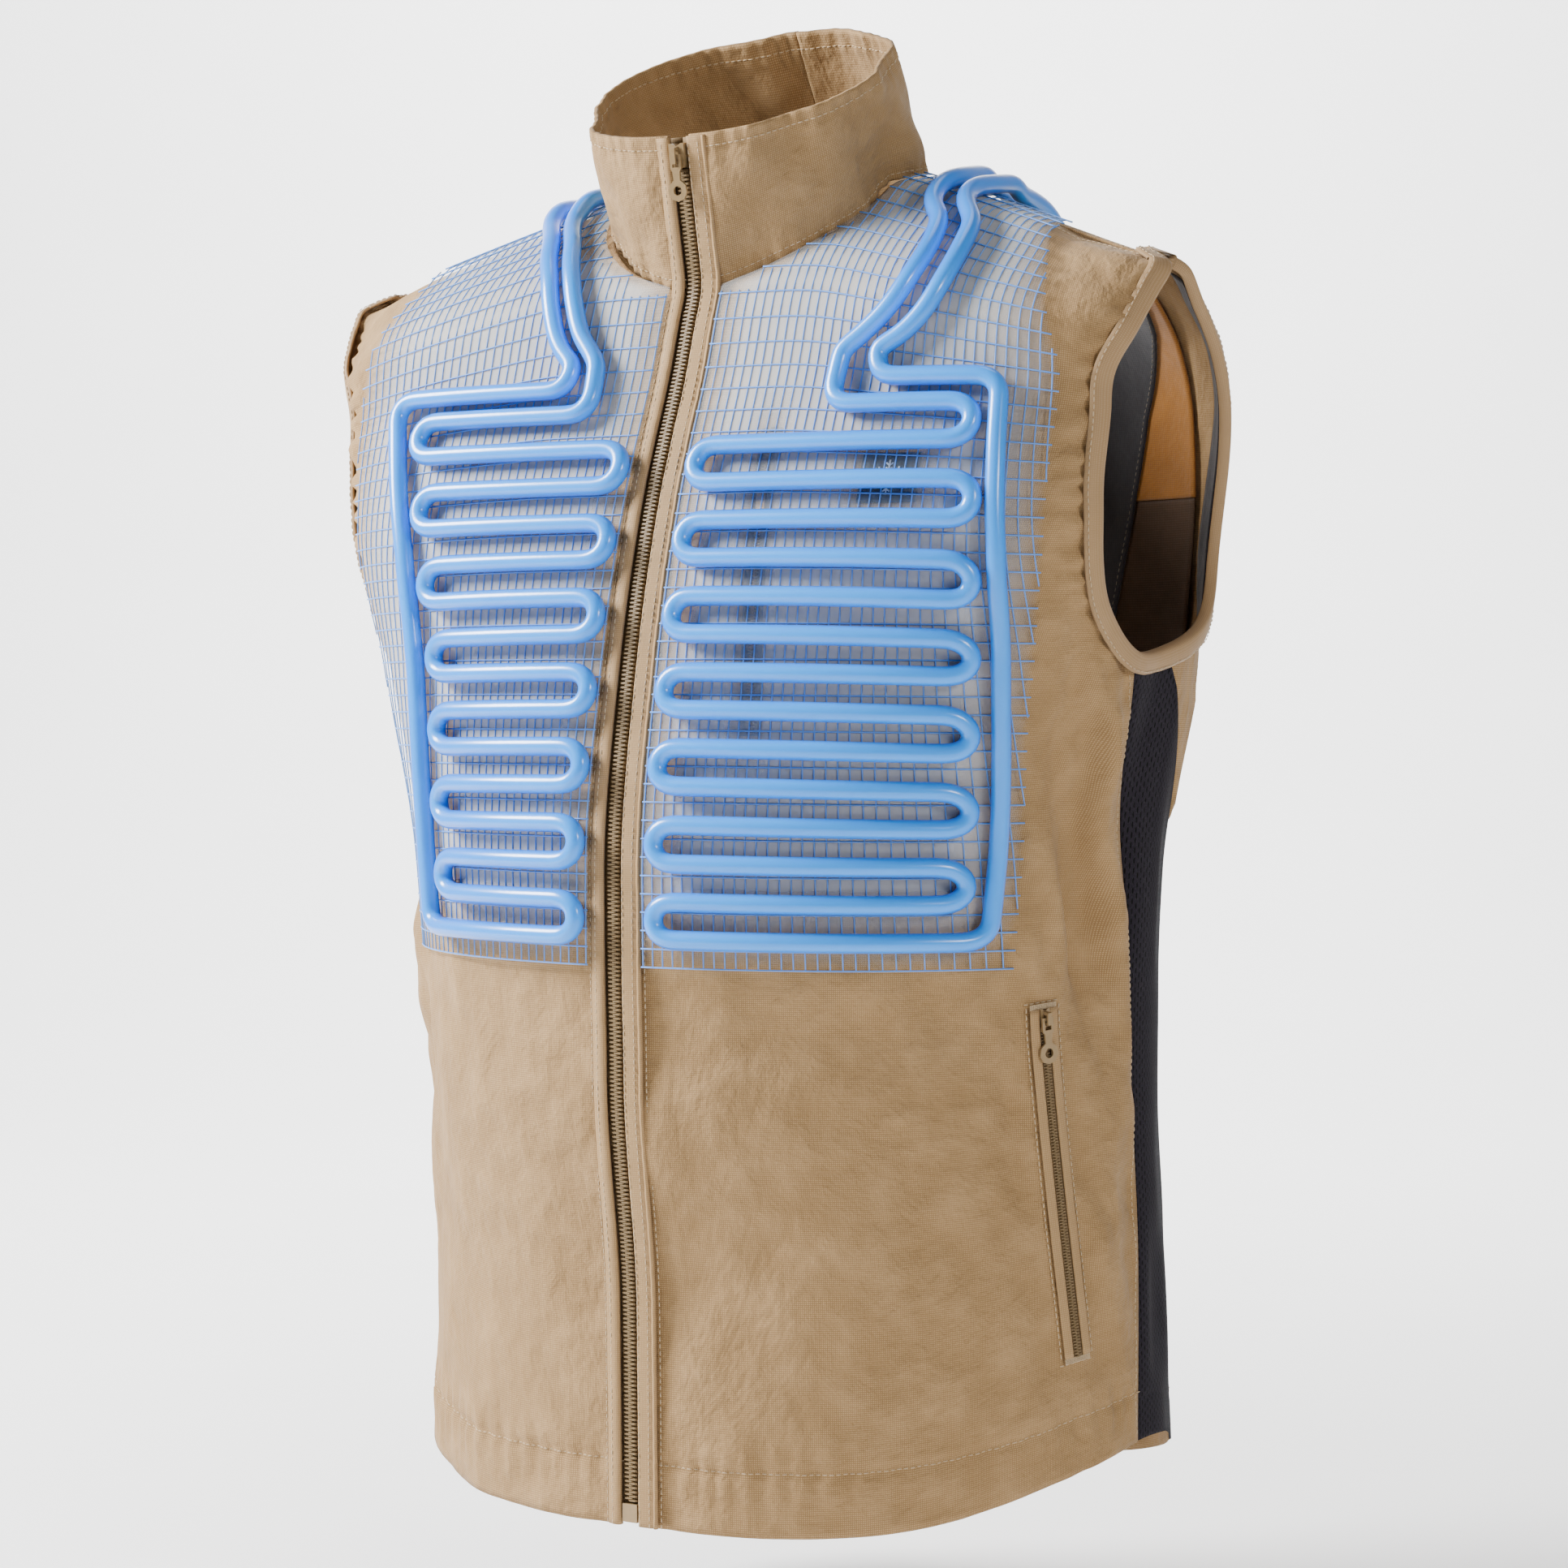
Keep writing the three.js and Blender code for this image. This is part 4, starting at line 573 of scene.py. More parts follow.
def declare_sheet(piece):
    """Reads the places of a piece's points and keeps nothing of them."""
    co = np.zeros(len(piece.data.vertices) * 3, np.float32)
    piece.data.vertices.foreach_get("co", co)
    co = co.reshape(-1, 3)


# ---------------------------------------------------------------- materials


def linear(code):
    """An sRGB hex colour as linear RGBA; a colour that is already linear is only given its alpha."""
    if not isinstance(code, str):
        return tuple(code)[:3] + (1.0,)
    parts = [int(code[i:i + 2], 16) / 255 for i in (1, 3, 5)]
    return tuple(c / 12.92 if c <= 0.04045 else ((c + 0.055) / 1.055) ** 2.4 for c in parts) + (1.0,)


def node(tree, kind, inputs=None, **settings):
    """Adds one node with its settings; inputs are values or the sockets that they are linked to."""
    made = tree.nodes.new(kind)
    for name, value in settings.items():
        setattr(made, name, value)
    for name, value in (inputs or {}).items():
        socket = made.inputs[name]
        if isinstance(value, bpy.types.NodeSocket):
            tree.links.new(value, socket)
        else:
            socket.default_value = value
    return made


def material(name, surface):
    """A new material with a Principled shader and an output."""
    made = bpy.data.materials.new(name)
    made.use_nodes = True
    tree = made.node_tree
    tree.nodes.clear()
    shader = node(tree, "ShaderNodeBsdfPrincipled", surface)
    node(tree, "ShaderNodeOutputMaterial", {"Surface": shader.outputs["BSDF"]})
    return made, tree, shader


def link(tree, source, shader, socket):
    tree.links.new(source, shader.inputs[socket])


def flat_metres(tree):
    """The place on the flat cloth, in metres."""
    return node(tree, "ShaderNodeUVMap", uv_map="flat_cloth").outputs["UV"]


def woven(name, light, dark, pitch, roughness, weave=0.25, crinkle=0.85, sheen=0.06, ripstop=0.0,
          broad_shade_share=0.5):
    """Plain woven cloth: warp and weft ridges and a faint crinkle, with painted shade: the colour is darker where the
    threads and the broad crinkle lie low.
    """
    made, tree, shader = material(name, {"Roughness": roughness, "Specular IOR Level": 0.3})
    shader.inputs["Sheen Weight"].default_value = sheen
    shader.inputs["Sheen Roughness"].default_value = 0.5
    place = flat_metres(tree)
    threads = []
    for turn in (0.0, math.pi / 2):
        turned = node(tree, "ShaderNodeMapping", {"Vector": place, "Rotation": (0, 0, turn)})
        threads.append(node(tree, "ShaderNodeTexWave", {
            "Vector": turned.outputs["Vector"], "Scale": 100 * math.pi / pitch,
            "Distortion": 1.2, "Detail": 1.0, "Detail Scale": 3.0}, wave_profile="SIN").outputs["Fac"])
    cross = node(tree, "ShaderNodeMath", {0: threads[0], 1: threads[1]}, operation="MULTIPLY").outputs[0]
    small = node(tree, "ShaderNodeTexNoise",
                 {"Vector": place, "Scale": 330.0, "Detail": 3.0}).outputs["Fac"]
    broad = node(tree, "ShaderNodeTexNoise", {"Vector": place, "Scale": 42.0, "Detail": 4.0}).outputs["Fac"]
    # Painted shade: the colour follows the heights that the bumps below use, those of the threads and of the broad
    # crinkle, and is darker where they lie low
    shade = node(tree, "ShaderNodeMix", {"Factor": broad_shade_share, "A": cross, "B": broad}, data_type="FLOAT")
    ramp = node(tree, "ShaderNodeMapRange", {"Value": shade.outputs[0], "From Min": 0.25, "From Max": 0.7})
    colour = node(tree, "ShaderNodeMix", {"Factor": ramp.outputs[0], 6: linear(dark), 7: linear(light)},
                  data_type="RGBA")
    link(tree, colour.outputs[2], shader, "Base Color")
    fine = node(tree, "ShaderNodeBump", {"Height": cross, "Strength": weave, "Distance": 0.0003})
    if ripstop:
        grid = []
        for turn in (0.0, math.pi / 2):
            turned = node(tree, "ShaderNodeMapping", {"Vector": place, "Rotation": (0, 0, turn)})
            wave = node(tree, "ShaderNodeTexWave", {
                "Vector": turned.outputs["Vector"], "Scale": 100 * math.pi / ripstop}, wave_profile="SIN")
            grid.append(node(tree, "ShaderNodeMath", {0: wave.outputs["Fac"], 1: 14.0},
                             operation="POWER").outputs[0])
        line = node(tree, "ShaderNodeMath", {0: grid[0], 1: grid[1]}, operation="MAXIMUM").outputs[0]
        fine = node(tree, "ShaderNodeBump", {"Height": line, "Strength": 0.1, "Distance": 0.0003,
                                             "Normal": fine.outputs["Normal"]})
    folds = node(tree, "ShaderNodeBump", {"Height": small, "Strength": crinkle * 0.6, "Distance": 0.0009,
                                          "Normal": fine.outputs["Normal"]})
    folds = node(tree, "ShaderNodeBump", {"Height": broad, "Strength": crinkle, "Distance": 0.006,
                                          "Normal": folds.outputs["Normal"]})
    link(tree, folds.outputs["Normal"], shader, "Normal")
    return made


def smooth_plastic(name, colour, roughness, grain=60.0, strength=0.05, metallic=0.0, coat=0.0, dark=None):
    """Moulded or painted hard surface with a little unevenness."""
    made, tree, shader = material(name, {"Roughness": roughness, "Metallic": metallic})
    shader.inputs["Coat Weight"].default_value = coat
    place = node(tree, "ShaderNodeTexCoord").outputs["Object"]
    grainy = node(tree, "ShaderNodeTexNoise",
                  {"Vector": place, "Scale": grain * 10, "Detail": 4.0}).outputs["Fac"]
    tone = node(tree, "ShaderNodeMix", {"Factor": grainy, 6: linear(dark or colour), 7: linear(colour)},
                data_type="RGBA")
    link(tree, tone.outputs[2], shader, "Base Color")
    rough = node(tree, "ShaderNodeMapRange",
                 {"Value": grainy, "To Min": roughness * 0.85, "To Max": roughness * 1.15})
    link(tree, rough.outputs[0], shader, "Roughness")
    bumpy = node(tree, "ShaderNodeBump", {"Height": grainy, "Strength": strength, "Distance": 0.0004})
    link(tree, bumpy.outputs["Normal"], shader, "Normal")
    return made


def perforated(name, colour, light):
    """Warp-knit mesh: rows of small slit holes, staggered, with knit ribs between them."""
    made, tree, shader = material(name, {"Roughness": 0.85, "Specular IOR Level": 0.12})
    shader.inputs["Sheen Weight"].default_value = 0.02
    place = flat_metres(tree)
    parts = node(tree, "ShaderNodeSeparateXYZ", {"Vector": place})
    # Slits 3.2 mm apart across and 5 mm apart up, drawn as coarse as they need to show
    u = node(tree, "ShaderNodeMath", {0: parts.outputs["X"], 1: 1 / 0.0032},
             operation="MULTIPLY").outputs[0]
    v = node(tree, "ShaderNodeMath", {0: parts.outputs["Y"], 1: 1 / 0.005}, operation="MULTIPLY").outputs[0]
    column = node(tree, "ShaderNodeMath", {0: u}, operation="FLOOR").outputs[0]
    shift = node(tree, "ShaderNodeMath", {0: column, 1: 0.5, 2: v}, operation="MULTIPLY_ADD").outputs[0]
    fu = node(tree, "ShaderNodeMath", {0: u}, operation="FRACT").outputs[0]
    fv = node(tree, "ShaderNodeMath", {0: shift}, operation="FRACT").outputs[0]
    du = node(tree, "ShaderNodeMath", {0: fu, 1: 0.5}, operation="SUBTRACT").outputs[0]
    dv = node(tree, "ShaderNodeMath", {0: fv, 1: 0.5}, operation="SUBTRACT").outputs[0]
    wide = node(tree, "ShaderNodeMath", {0: du, 1: 2.6}, operation="MULTIPLY").outputs[0]
    high = node(tree, "ShaderNodeMath", {0: dv, 1: 1.7}, operation="MULTIPLY").outputs[0]
    both = node(tree, "ShaderNodeVectorMath", {0: node(tree, "ShaderNodeCombineXYZ", {
        "X": wide, "Y": high}).outputs["Vector"]}, operation="LENGTH").outputs["Value"]
    hole = node(tree, "ShaderNodeMapRange", {"Value": both, "From Min": 0.42, "From Max": 0.6})
    # The holes are painted near black: painted shade, standing for the dark inside of the vest seen through them
    colours = node(tree, "ShaderNodeMix",
                   {"Factor": hole.outputs[0], 6: linear("#020202"), 7: linear(colour)},
                   data_type="RGBA")
    glint = node(tree, "ShaderNodeTexNoise",
                 {"Vector": place, "Scale": 900.0, "Detail": 2.0}).outputs["Fac"]
    mixed = node(tree, "ShaderNodeMix", {"Factor": node(tree, "ShaderNodeMapRange", {
        "Value": glint, "From Min": 0.52, "From Max": 0.75, "To Max": 0.4}).outputs[0],
        6: colours.outputs[2], 7: linear(light)}, data_type="RGBA")
    link(tree, mixed.outputs[2], shader, "Base Color")
    bumpy = node(tree, "ShaderNodeBump", {"Height": hole.outputs[0], "Strength": 1.0, "Distance": 0.0014})
    link(tree, bumpy.outputs["Normal"], shader, "Normal")
    return made


def sheer(name, colour, alpha):
    """Sheer warp-knit film: see-through, greyer where its fine net is doubled."""
    made, tree, shader = material(name, {"Roughness": 0.55, "Specular IOR Level": 0.3})
    place = flat_metres(tree)
    cloudy = node(tree, "ShaderNodeTexNoise",
                  {"Vector": place, "Scale": 26.0, "Detail": 3.0}).outputs["Fac"]
    tone = node(tree, "ShaderNodeMix", {"Factor": cloudy, 6: linear(colour), 7: linear("#F2F2EE")},
                data_type="RGBA")
    link(tree, tone.outputs[2], shader, "Base Color")
    edge = node(tree, "ShaderNodeAttribute", attribute_name="veil").outputs["Fac"]
    see = node(tree, "ShaderNodeMath", {0: edge, 1: alpha}, operation="MULTIPLY").outputs[0]
    link(tree, see, shader, "Alpha")
    return made


def clear_hose(name, colour, edge_shade):
    """Extruded soft PVC hose filled with coolant: glossy skin over a light blue body, with painted shade: the colour
    turns a deeper blue towards the edges that turn away from view.
    """
    made, tree, shader = material(name, {"Roughness": 0.28, "IOR": 1.53, "Subsurface Weight": 0.12,
                                         "Subsurface Radius": (0.2, 0.5, 1.0), "Subsurface Scale": 0.004})
    shader.inputs["Coat Weight"].default_value = 0.25
    shader.inputs["Coat Roughness"].default_value = 0.12
    place = node(tree, "ShaderNodeTexCoord").outputs["Object"]
    cloudy = node(tree, "ShaderNodeTexNoise",
                  {"Vector": place, "Scale": 30.0, "Detail": 2.0}).outputs["Fac"]
    facing = node(tree, "ShaderNodeLayerWeight", {"Blend": 0.35}).outputs["Facing"]
    mixed = node(tree, "ShaderNodeMath", {0: cloudy, 1: 0.25, 2: facing},
                 operation="MULTIPLY_ADD").outputs[0]
    # Painted shade: a deeper blue where the surface turns away from view, with a little random cloudiness
    tone = node(tree, "ShaderNodeMix", {"Factor": node(tree, "ShaderNodeMapRange", {
        "Value": mixed, "From Min": 0.25, "From Max": 0.95}).outputs[0],
        6: linear(colour), 7: linear(edge_shade)}, data_type="RGBA")
    link(tree, tone.outputs[2], shader, "Base Color")
    return made


# Finishes by their place on the vest, filled by the operator that makes them
FINISH = {}


def make_finishes(look):
    """All the vest's materials, from the colours that a user can change."""
    # Each woven finish takes a lighter and a darker colour; the darker one is painted shade, shown where the threads
    # and the broad crinkle lie low
    # Crepe nylon, plain woven and piece dyed: matt, sandy, finely crinkled, drawn with 1 mm threads to show
    FINISH["tan"] = woven("tan_crepe_nylon_woven", look.cloth_light, look.cloth_shade, 1.0, 0.82,
                          ripstop=6.0)
    # The same cloth on the bands, pressed flat
    FINISH["trim"] = woven("tan_pressed_band_woven", "#B5946A", "#977850", 1.0, 0.75, weave=0.2,
                           crinkle=0.12, broad_shade_share=0.4)
    # Knitted elastic binding, smooth: even and slightly shiny
    FINISH["binding"] = woven("tan_binding_tape_knitted", "#A98A64", "#967853", 0.8, 0.62, weave=0.15,
                              crinkle=0.06, broad_shade_share=0.3)
    # Polyester warp-knit mesh, heat set: near black, with glints on its ribs
    FINISH["mesh"] = perforated("black_polyester_mesh_knitted", look.mesh_colour, "#3A353F")
    # Polyester taffeta linings and facing: soft sheen, close weave
    FINISH["ochre"] = woven("ochre_lining_taffeta_woven", look.upper_lining, "#8E5A16", 1.0, 0.6,
                            weave=0.12, crinkle=0.3, sheen=0.3)
    FINISH["brown"] = woven("brown_lining_twill_woven", look.lower_lining, "#46331F", 1.2, 0.7, weave=0.3,
                            crinkle=0.2)
    FINISH["black"] = woven("black_lining_taffeta_woven", "#2A272E", "#19171C", 1.0, 0.6, weave=0.15,
                            crinkle=0.2, sheen=0.3)
    # Zip tape, woven polyester herringbone: flat, slightly darker than the cloth
    FINISH["tape"] = woven("tan_zip_tape_woven", "#8E7350", "#77603F", 0.8, 0.75, weave=0.4, crinkle=0.05,
                           broad_shade_share=0.2)
    # The same tape on the chest pocket, greyed by the net over it
    FINISH["grey_tape"] = woven("grey_zip_tape_woven", "#5F5A50", "#47433C", 0.8, 0.75, weave=0.4,
                                crinkle=0.05)
    # Acetal zip teeth, moulded: satin, with rounded glints
    FINISH["teeth"] = smooth_plastic("tan_acetal_teeth_moulded", "#7D6644", 0.55, strength=0.03,
                                     dark="#78623F")
    # Zinc alloy, die cast and painted: satin paint a little darker than the cloth
    FINISH["painted"] = smooth_plastic("tan_zinc_alloy_painted", "#9A8058", 0.34, strength=0.06,
                                       metallic=0.35, coat=0.3,
                             dark="#8A7250")
    # Sewing thread, spun polyester
    FINISH["thread"] = smooth_plastic("tan_polyester_thread_spun", "#C9B391", 0.7, grain=200.0,
                                      strength=0.3, dark="#AE9573")
    FINISH["dark_thread"] = smooth_plastic("grey_polyester_thread_spun", "#8D8578", 0.7, grain=200.0,
                                           strength=0.3, dark="#6F675A")
    # Sheer polyester film net over the chest
    FINISH["sheer"] = sheer("sheer_polyester_net_knitted", "#DCE4EC", 0.3)
    # Blue monofilament net, extruded: thin shiny threads
    FINISH["net"] = smooth_plastic("blue_nylon_net_extruded", look.net_colour, 0.45, strength=0.02,
                                   dark="#6F9BD0")
    # Soft PVC hose, extruded, full of coolant, with painted shade towards its edges
    FINISH["hose"] = clear_hose("blue_pvc_hose_extruded", look.hose_light, look.hose_edge_shade)
    # Moulded silicone patch with a printed crystal
    FINISH["patch"] = smooth_plastic("teal_silicone_patch_moulded", "#1B3B47", 0.55, strength=0.1,
                                     dark="#122B35")
    FINISH["print"] = smooth_plastic("white_patch_ink_printed", "#DCE6EA", 0.6, strength=0.05,
                                     dark="#C8D4DA")



# ---------------------------------------------------------------- the cloth's small shapes


def creases(angle, rise, edge_away=None, hem=True):
    """Height in millimetres of wrinkles, puckers and seams over the cloth."""
    u, v = flat_place(angle, rise)
    level = np.clip(v / LENGTH, 0, 1)
    height = 1.4 * noise(u, v, 62, 3) + 0.45 * noise(u, v, 27, 4, 1.3) + 0.14 * noise(u, v, 9, 5, 1.4)
    turn = np.abs(u) / (np.pi * HALF_WIDTH)
    # Creases that fall from the armhole down the side, leaning to the front
    lean_u, lean_v = u * 0.94 + np.sign(u) * v * 0.34, v * 0.94 - np.abs(u) * 0.34
    side = bump((turn - 0.40) / 0.085) * bump((level - 0.48) / 0.34)
    height = height + side * (7.0 * noise(lean_u, lean_v, 26, 8,
                                          3.5) + 2.2 * noise(lean_u, lean_v, 11, 9, 3.5))
    # Slack below the chest panel
    slack = bump((turn - 0.30) / 0.10) * bump((level - 0.375) / 0.045)
    height = height + slack * 2.2 * noise(u * 0.8 + v * 0.6, v * 0.8 - u * 0.6, 20, 11, 2.5)
    if hem:
        puckers = np.sin(2 * np.pi * (u / 12.5 + 0.35 * noise(u, v * 0, 30, 12)))
        height = height + 0.5 * puckers * bump((v - 27) / 13) - 0.7 * bump((v - 30) / 1.3)
        height = height + 1.5 * noise(u, v * 0.4, 46, 13) * bump(v / 60)
    if edge_away is not None:
        gather = np.sin(2 * np.pi * (v / 13 + 0.4 * noise(v, u * 0, 26, 15)))
        height = height + 1.0 * gather * bump((edge_away - 4) / 15) * bump((level - 0.78) / 0.22)
    return height


def crease_lift(settings, *place, **kinds):
    return settings.crease_depth * 1000 * creases(*place, **kinds)


def patch_of(angle, rise, lift=0.0, small=None):
    """Points, normals and flat places of a grid of spots."""
    points, normals = cloth(angle, rise, lift)
    if small is not None:
        points = points + normals * small[..., None]
    return points, normals, np.stack(flat_place(angle, rise), -1)


def rows_between(low, high, step):
    """Rises spaced evenly over the cloth, in millimetres."""
    low_at, high_at = np.interp([low, high], RISE_ROW, RISE_LENGTH)
    at = np.linspace(low_at, high_at, max(3, int((high_at - low_at) / step)))
    return np.interp(at, RISE_LENGTH, RISE_ROW)


def front_patch(settings, side):
    edges = rows_between(0, SEAM_RISE, settings.cloth_step * 1000)
    near = np.sort(np.concatenate([edges, NECK_FRONT_RISE + np.array([-0.0004, 0.0004, 0.0015, 0.003])]))
    angle, rise = grid_of(near, 96, front_inner, lambda r: front_outer(r) - 0.0012)
    away = (angle[:, -1:] - angle) * HALF_WIDTH
    small = crease_lift(settings, angle * side, rise, edge_away=away)
    quiet = np.clip(angle * HALF_WIDTH / 22, 0, 1) * np.clip(away / 5, 0, 1)
    foot = (rise - spot_across(17.0, -PANEL_BOTTOM)[1]) * 12
    under = np.clip(foot, 0, 1) * np.clip((panel_outer(near)[:, None] - angle) * 14 + 0.6, 0, 1)
    small = small * quiet * (1 - 0.9 * under)
    if side > 0:
        # The cloth is held flat beside the hand pocket's zip
        place = body(angle, rise)
        share = (-415 - place[..., 2]) / 170
        beside = place[..., 1] + 76 - 19 * np.clip(share, 0, 1)
        small = small * (1 - 0.97 * np.exp(-((beside / 15) ** 4) - ((share - 0.5) / 0.63) ** 8) * (place[..., 0] > 100))
    patch = patch_of(angle, rise)
    # The seed of each side differs through its signed place, and the left patch is mirrored to the right
    own = relief(angle * side, rise)[..., None]
    points = body(angle, rise) + patch[1] * (own + small[..., None])
    made = points, patch[1], patch[2]
    return made if side > 0 else mirror(made)


def half_back(settings, side):
    low = rows_between(0, BACK_BOTTOM[1], settings.cloth_step * 1000)
    high = rows_between(BACK_BOTTOM[1], 2 - SEAM_RISE - 0.0012, settings.cloth_step * 1000)[1:]
    rises = np.sort(np.concatenate([low, high, NECK_BACK_RISE + np.array([0.0004, 0.0015, 0.003])]))
    angle, rise = grid_of(rises, 84, lambda r: back_outer(r) + 0.0012, back_inner)
    away = (angle - angle[:, :1]) * HALF_WIDTH
    small = crease_lift(settings, side * (np.pi - angle), np.minimum(rise, 1), edge_away=away)
    quiet = np.clip(away / 5, 0, 1) * np.clip((2 - SEAM_RISE - rise) * 40, 0, 1)
    _, v = flat_place(angle, rise)
    yoke_at = np.interp(0.93, RISE_ROW, RISE_LENGTH)
    # Kept shallow, so that the linings stay inside
    small = np.clip(0.5 * small, -0.9, 2.2) * quiet - 0.5 * bump((v - yoke_at) / 1.6) * quiet
    _, normals = cloth(angle, rise)
    flats = np.stack([angle * HALF_WIDTH, v], -1)
    own = relief(angle * side, rise)[..., None]
    points = body(angle, rise) + normals * (own + small[..., None])
    points[..., 0] = np.where(np.abs(points[..., 0]) < 1e-3, 0, points[..., 0])
    made = points, normals, flats
    return made if side > 0 else mirror(made)


def side_patch(settings):
    """Black mesh side panel: rows from the hem up to the armhole's lowest stretch."""
    turns = np.linspace(len(ARMHOLE), BACK_SEAM_TURN, 33)
    end_angle, end_rise = armhole(turns, BINDING_TUCK)
    share = np.linspace(0, 1, 150)[:, None]
    rise = share * end_rise[None]
    across = np.linspace(0, 1, 33)[None]

    def edge_at(at):
        low = seam_angle("front", np.minimum(at, ARM_BOTTOM[1]), ARM_BOTTOM) + 0.0012
        high = seam_angle("back", np.minimum(at, BACK_BOTTOM[1]), BACK_BOTTOM) - 0.0012
        return low + (high - low) * across

    bend = (end_angle[None] - edge_at(end_rise[None])) * share**4
    inside = np.sin(np.pi * across) > 0.02
    angle = edge_at(rise) + np.where(inside, bend, 0)
    u, v = flat_place(angle, rise)
    quiet = np.clip(np.minimum(across, 1 - across) * 10, 0, 1)
    small = settings.crease_depth * 1000 * (0.8 * noise(u, v, 30, 21,
                                                        2.5) - 0.4 * bump((v - 26) / 1.3)) * quiet
    return patch_of(angle, rise, 0.0, small)


def collar_places(turn, share, side=1.0):
    """Points and normals of the collar's outer face at neck turns and shares of its height."""
    turn, share = np.broadcast_arrays(turn, share)
    rise = neck_rise(turn)
    across = neck_oval(turn)[0]
    front = rise <= 1
    level = np.where(front, rise, 2 - rise)
    angle = np.where(front, angle_across(across, level), angle_across(across, level, False))
    foot = body(angle, level)
    s, c = np.abs(np.sin(turn)), np.abs(np.cos(turn))
    spread = (s**COLLAR_SQUARE + c**COLLAR_SQUARE) ** (1 / COLLAR_SQUARE)
    middle, reach = (COLLAR_BACK - COLLAR_FRONT) / 2, (COLLAR_BACK + COLLAR_FRONT) / 2
    behind = middle - reach * np.sign(np.cos(turn)) * c / spread
    lean = (behind + COLLAR_FRONT) / (COLLAR_BACK + COLLAR_FRONT)
    top = np.stack([COLLAR_HALF * s / spread, behind,
                    COLLAR_FRONT_TOP + (COLLAR_BACK_TOP - COLLAR_FRONT_TOP) * lean], -1)
    edge = bump((turn - NECK_FRONT_TURN) / 0.03)
    top[..., 0] = top[..., 0] * (1 - edge) + ZIP_OPENING * edge
    foot[..., 0] = np.where(turn > np.pi - 1e-4, 0, foot[..., 0])
    top[..., 0] = np.where(turn > np.pi - 1e-4, 0, top[..., 0])
    upward = unit(top - foot)
    halfway = (foot + top) / 2
    sideways = unit(np.gradient(halfway, axis=1))
    normal = unit(np.cross(sideways, upward))
    start = foot + upward * 0.5
    return start + (top - start) * share[..., None], normal


def collar_patch(settings, side):
    turn = np.concatenate([[NECK_FRONT_TURN], np.linspace(NECK_FRONT_TURN, np.pi, 150)[1:]])[None]
    share = np.linspace(0, 1, 34)[:, None]
    points, normal = collar_places(turn, share)
    length = np.cumsum(np.concatenate([[0], np.linalg.norm(np.diff(points[16], axis=0), axis=1)]))
    total = 2 * length[-1]
    round_ = (length if side > 0 else total - length) / total
    height = COLLAR_BOW * 4 * share * (1 - share) + 0 * turn
    for at, up, spread, depth in COLLAR_DENTS:
        height = height + depth * bump((round_[None] - at) / spread) * np.maximum(0, 1 - ((share - up) / 0.5) ** 2)
    u, v = length[None] * side, share * 75.0
    puckers = np.sin(2 * np.pi * (u / 9.5 + 0.4 * noise(u, v * 0, 22, 31)))
    small = 0.28 * puckers * bump((share - 0.93) / 0.09) - 0.5 * bump((share - 0.89) / 0.016)
    small = small + 2.0 * noise(u, v, 27, 32, 2.6) + 0.4 * noise(u, v, 11, 33, 1.6)
    small = small + 0.5 * puckers * bump(share / 0.10)
    quiet = np.clip(length[None] / 14, 0, 1)
    points = points + normal * (height * quiet + small * settings.crease_depth * 1000 * quiet)[..., None]
    points[..., 0] = np.where(turn > np.pi - 1e-4, 0, points[..., 0])
    normal = np.where((turn > np.pi - 1e-4)[..., None], unit(normal * np.array([0.0, 1, 1])), normal)
    made = points, normal, np.stack(np.broadcast_arrays(length[None], v + 0 * turn), -1)
    return made if side > 0 else mirror(made)


def centre_path():
    """The centre front line up the body and the collar, with its outward normals."""
    rises = rows_between(0, NECK_FRONT_RISE, 3)
    low = cloth(np.zeros(len(rises)), rises)[0]
    high = collar_places(np.array([[NECK_FRONT_TURN, NECK_FRONT_TURN + 0.01]]),
                         np.linspace(0.04, 1, 26)[:, None])[0][:, 0]
    line = np.concatenate([low, high])
    line[:, 0] = 0
    line = resampled(line, 2.0)
    soft = line.copy()
    for k in range(1, 5):
        soft[4:-4] += line[4 - k:-4 - k] + line[4 + k:len(line) - 4 + k]
    soft[4:-4] /= 9
    along = unit(np.gradient(soft, axis=0))
    out = np.stack([0 * along[:, 0], -along[:, 2], along[:, 1]], -1)
    length = np.concatenate([[0], np.cumsum(np.linalg.norm(np.diff(soft, axis=0), axis=1))])
    return soft, along, out, length


CENTRE = centre_path()
CENTRE_END = float(CENTRE[3][-1])


def centre_at(length, across=0.0, out=0.0):
    """A place on the centre front: distance up it, sideways and outward, with its normal and direction."""
    line, along, normal, lengths = CENTRE
    length = np.asarray(length, float)
    read = [np.stack([np.interp(length, lengths, part[:, k]) for k in range(3)],
                     -1) for part in (line, normal, along)]
    side = np.array([1.0, 0, 0])
    place = read[0] + side * np.asarray(across, float)[...,
                                                       None] + read[1] * np.asarray(out, float)[..., None]
    return place, unit(read[1]), unit(read[2])


def centre_band(name, shape, low, high, material_, step=2.5, wave=None):
    """A soft band of constant section up the centre front; wave adds a small height along it."""
    lengths = np.linspace(low, high, int((high - low) / step))
    rings = []
    for across, out in shape:
        extra = 0 if wave is None else wave(lengths, across) * (out > 0.9)
        rings.append(centre_at(lengths, np.full(len(lengths), across), out + extra)[0])
    block = np.stack(rings, 1)
    n, m = block.shape[:2]
    index = np.arange(n * m).reshape(n, m)
    quad = np.stack([index[:-1], np.roll(index, -1, 1)[:-1], np.roll(index, -1, 1)[1:], index[1:]], -1)
    faces = quad.reshape(-1, 4).tolist() + [index[0][::-1].tolist(), index[-1].tolist()]
    round_ = np.concatenate([[0], np.cumsum(np.hypot(*np.diff(np.array(shape), axis=0).T))])
    flat = np.stack(np.broadcast_arrays(round_[None], lengths[:, None]), -1)
    return mesh_object(name, block.reshape(-1, 3), faces, material_, flat.reshape(-1, 2))


# ---------------------------------------------------------------- hoses and net

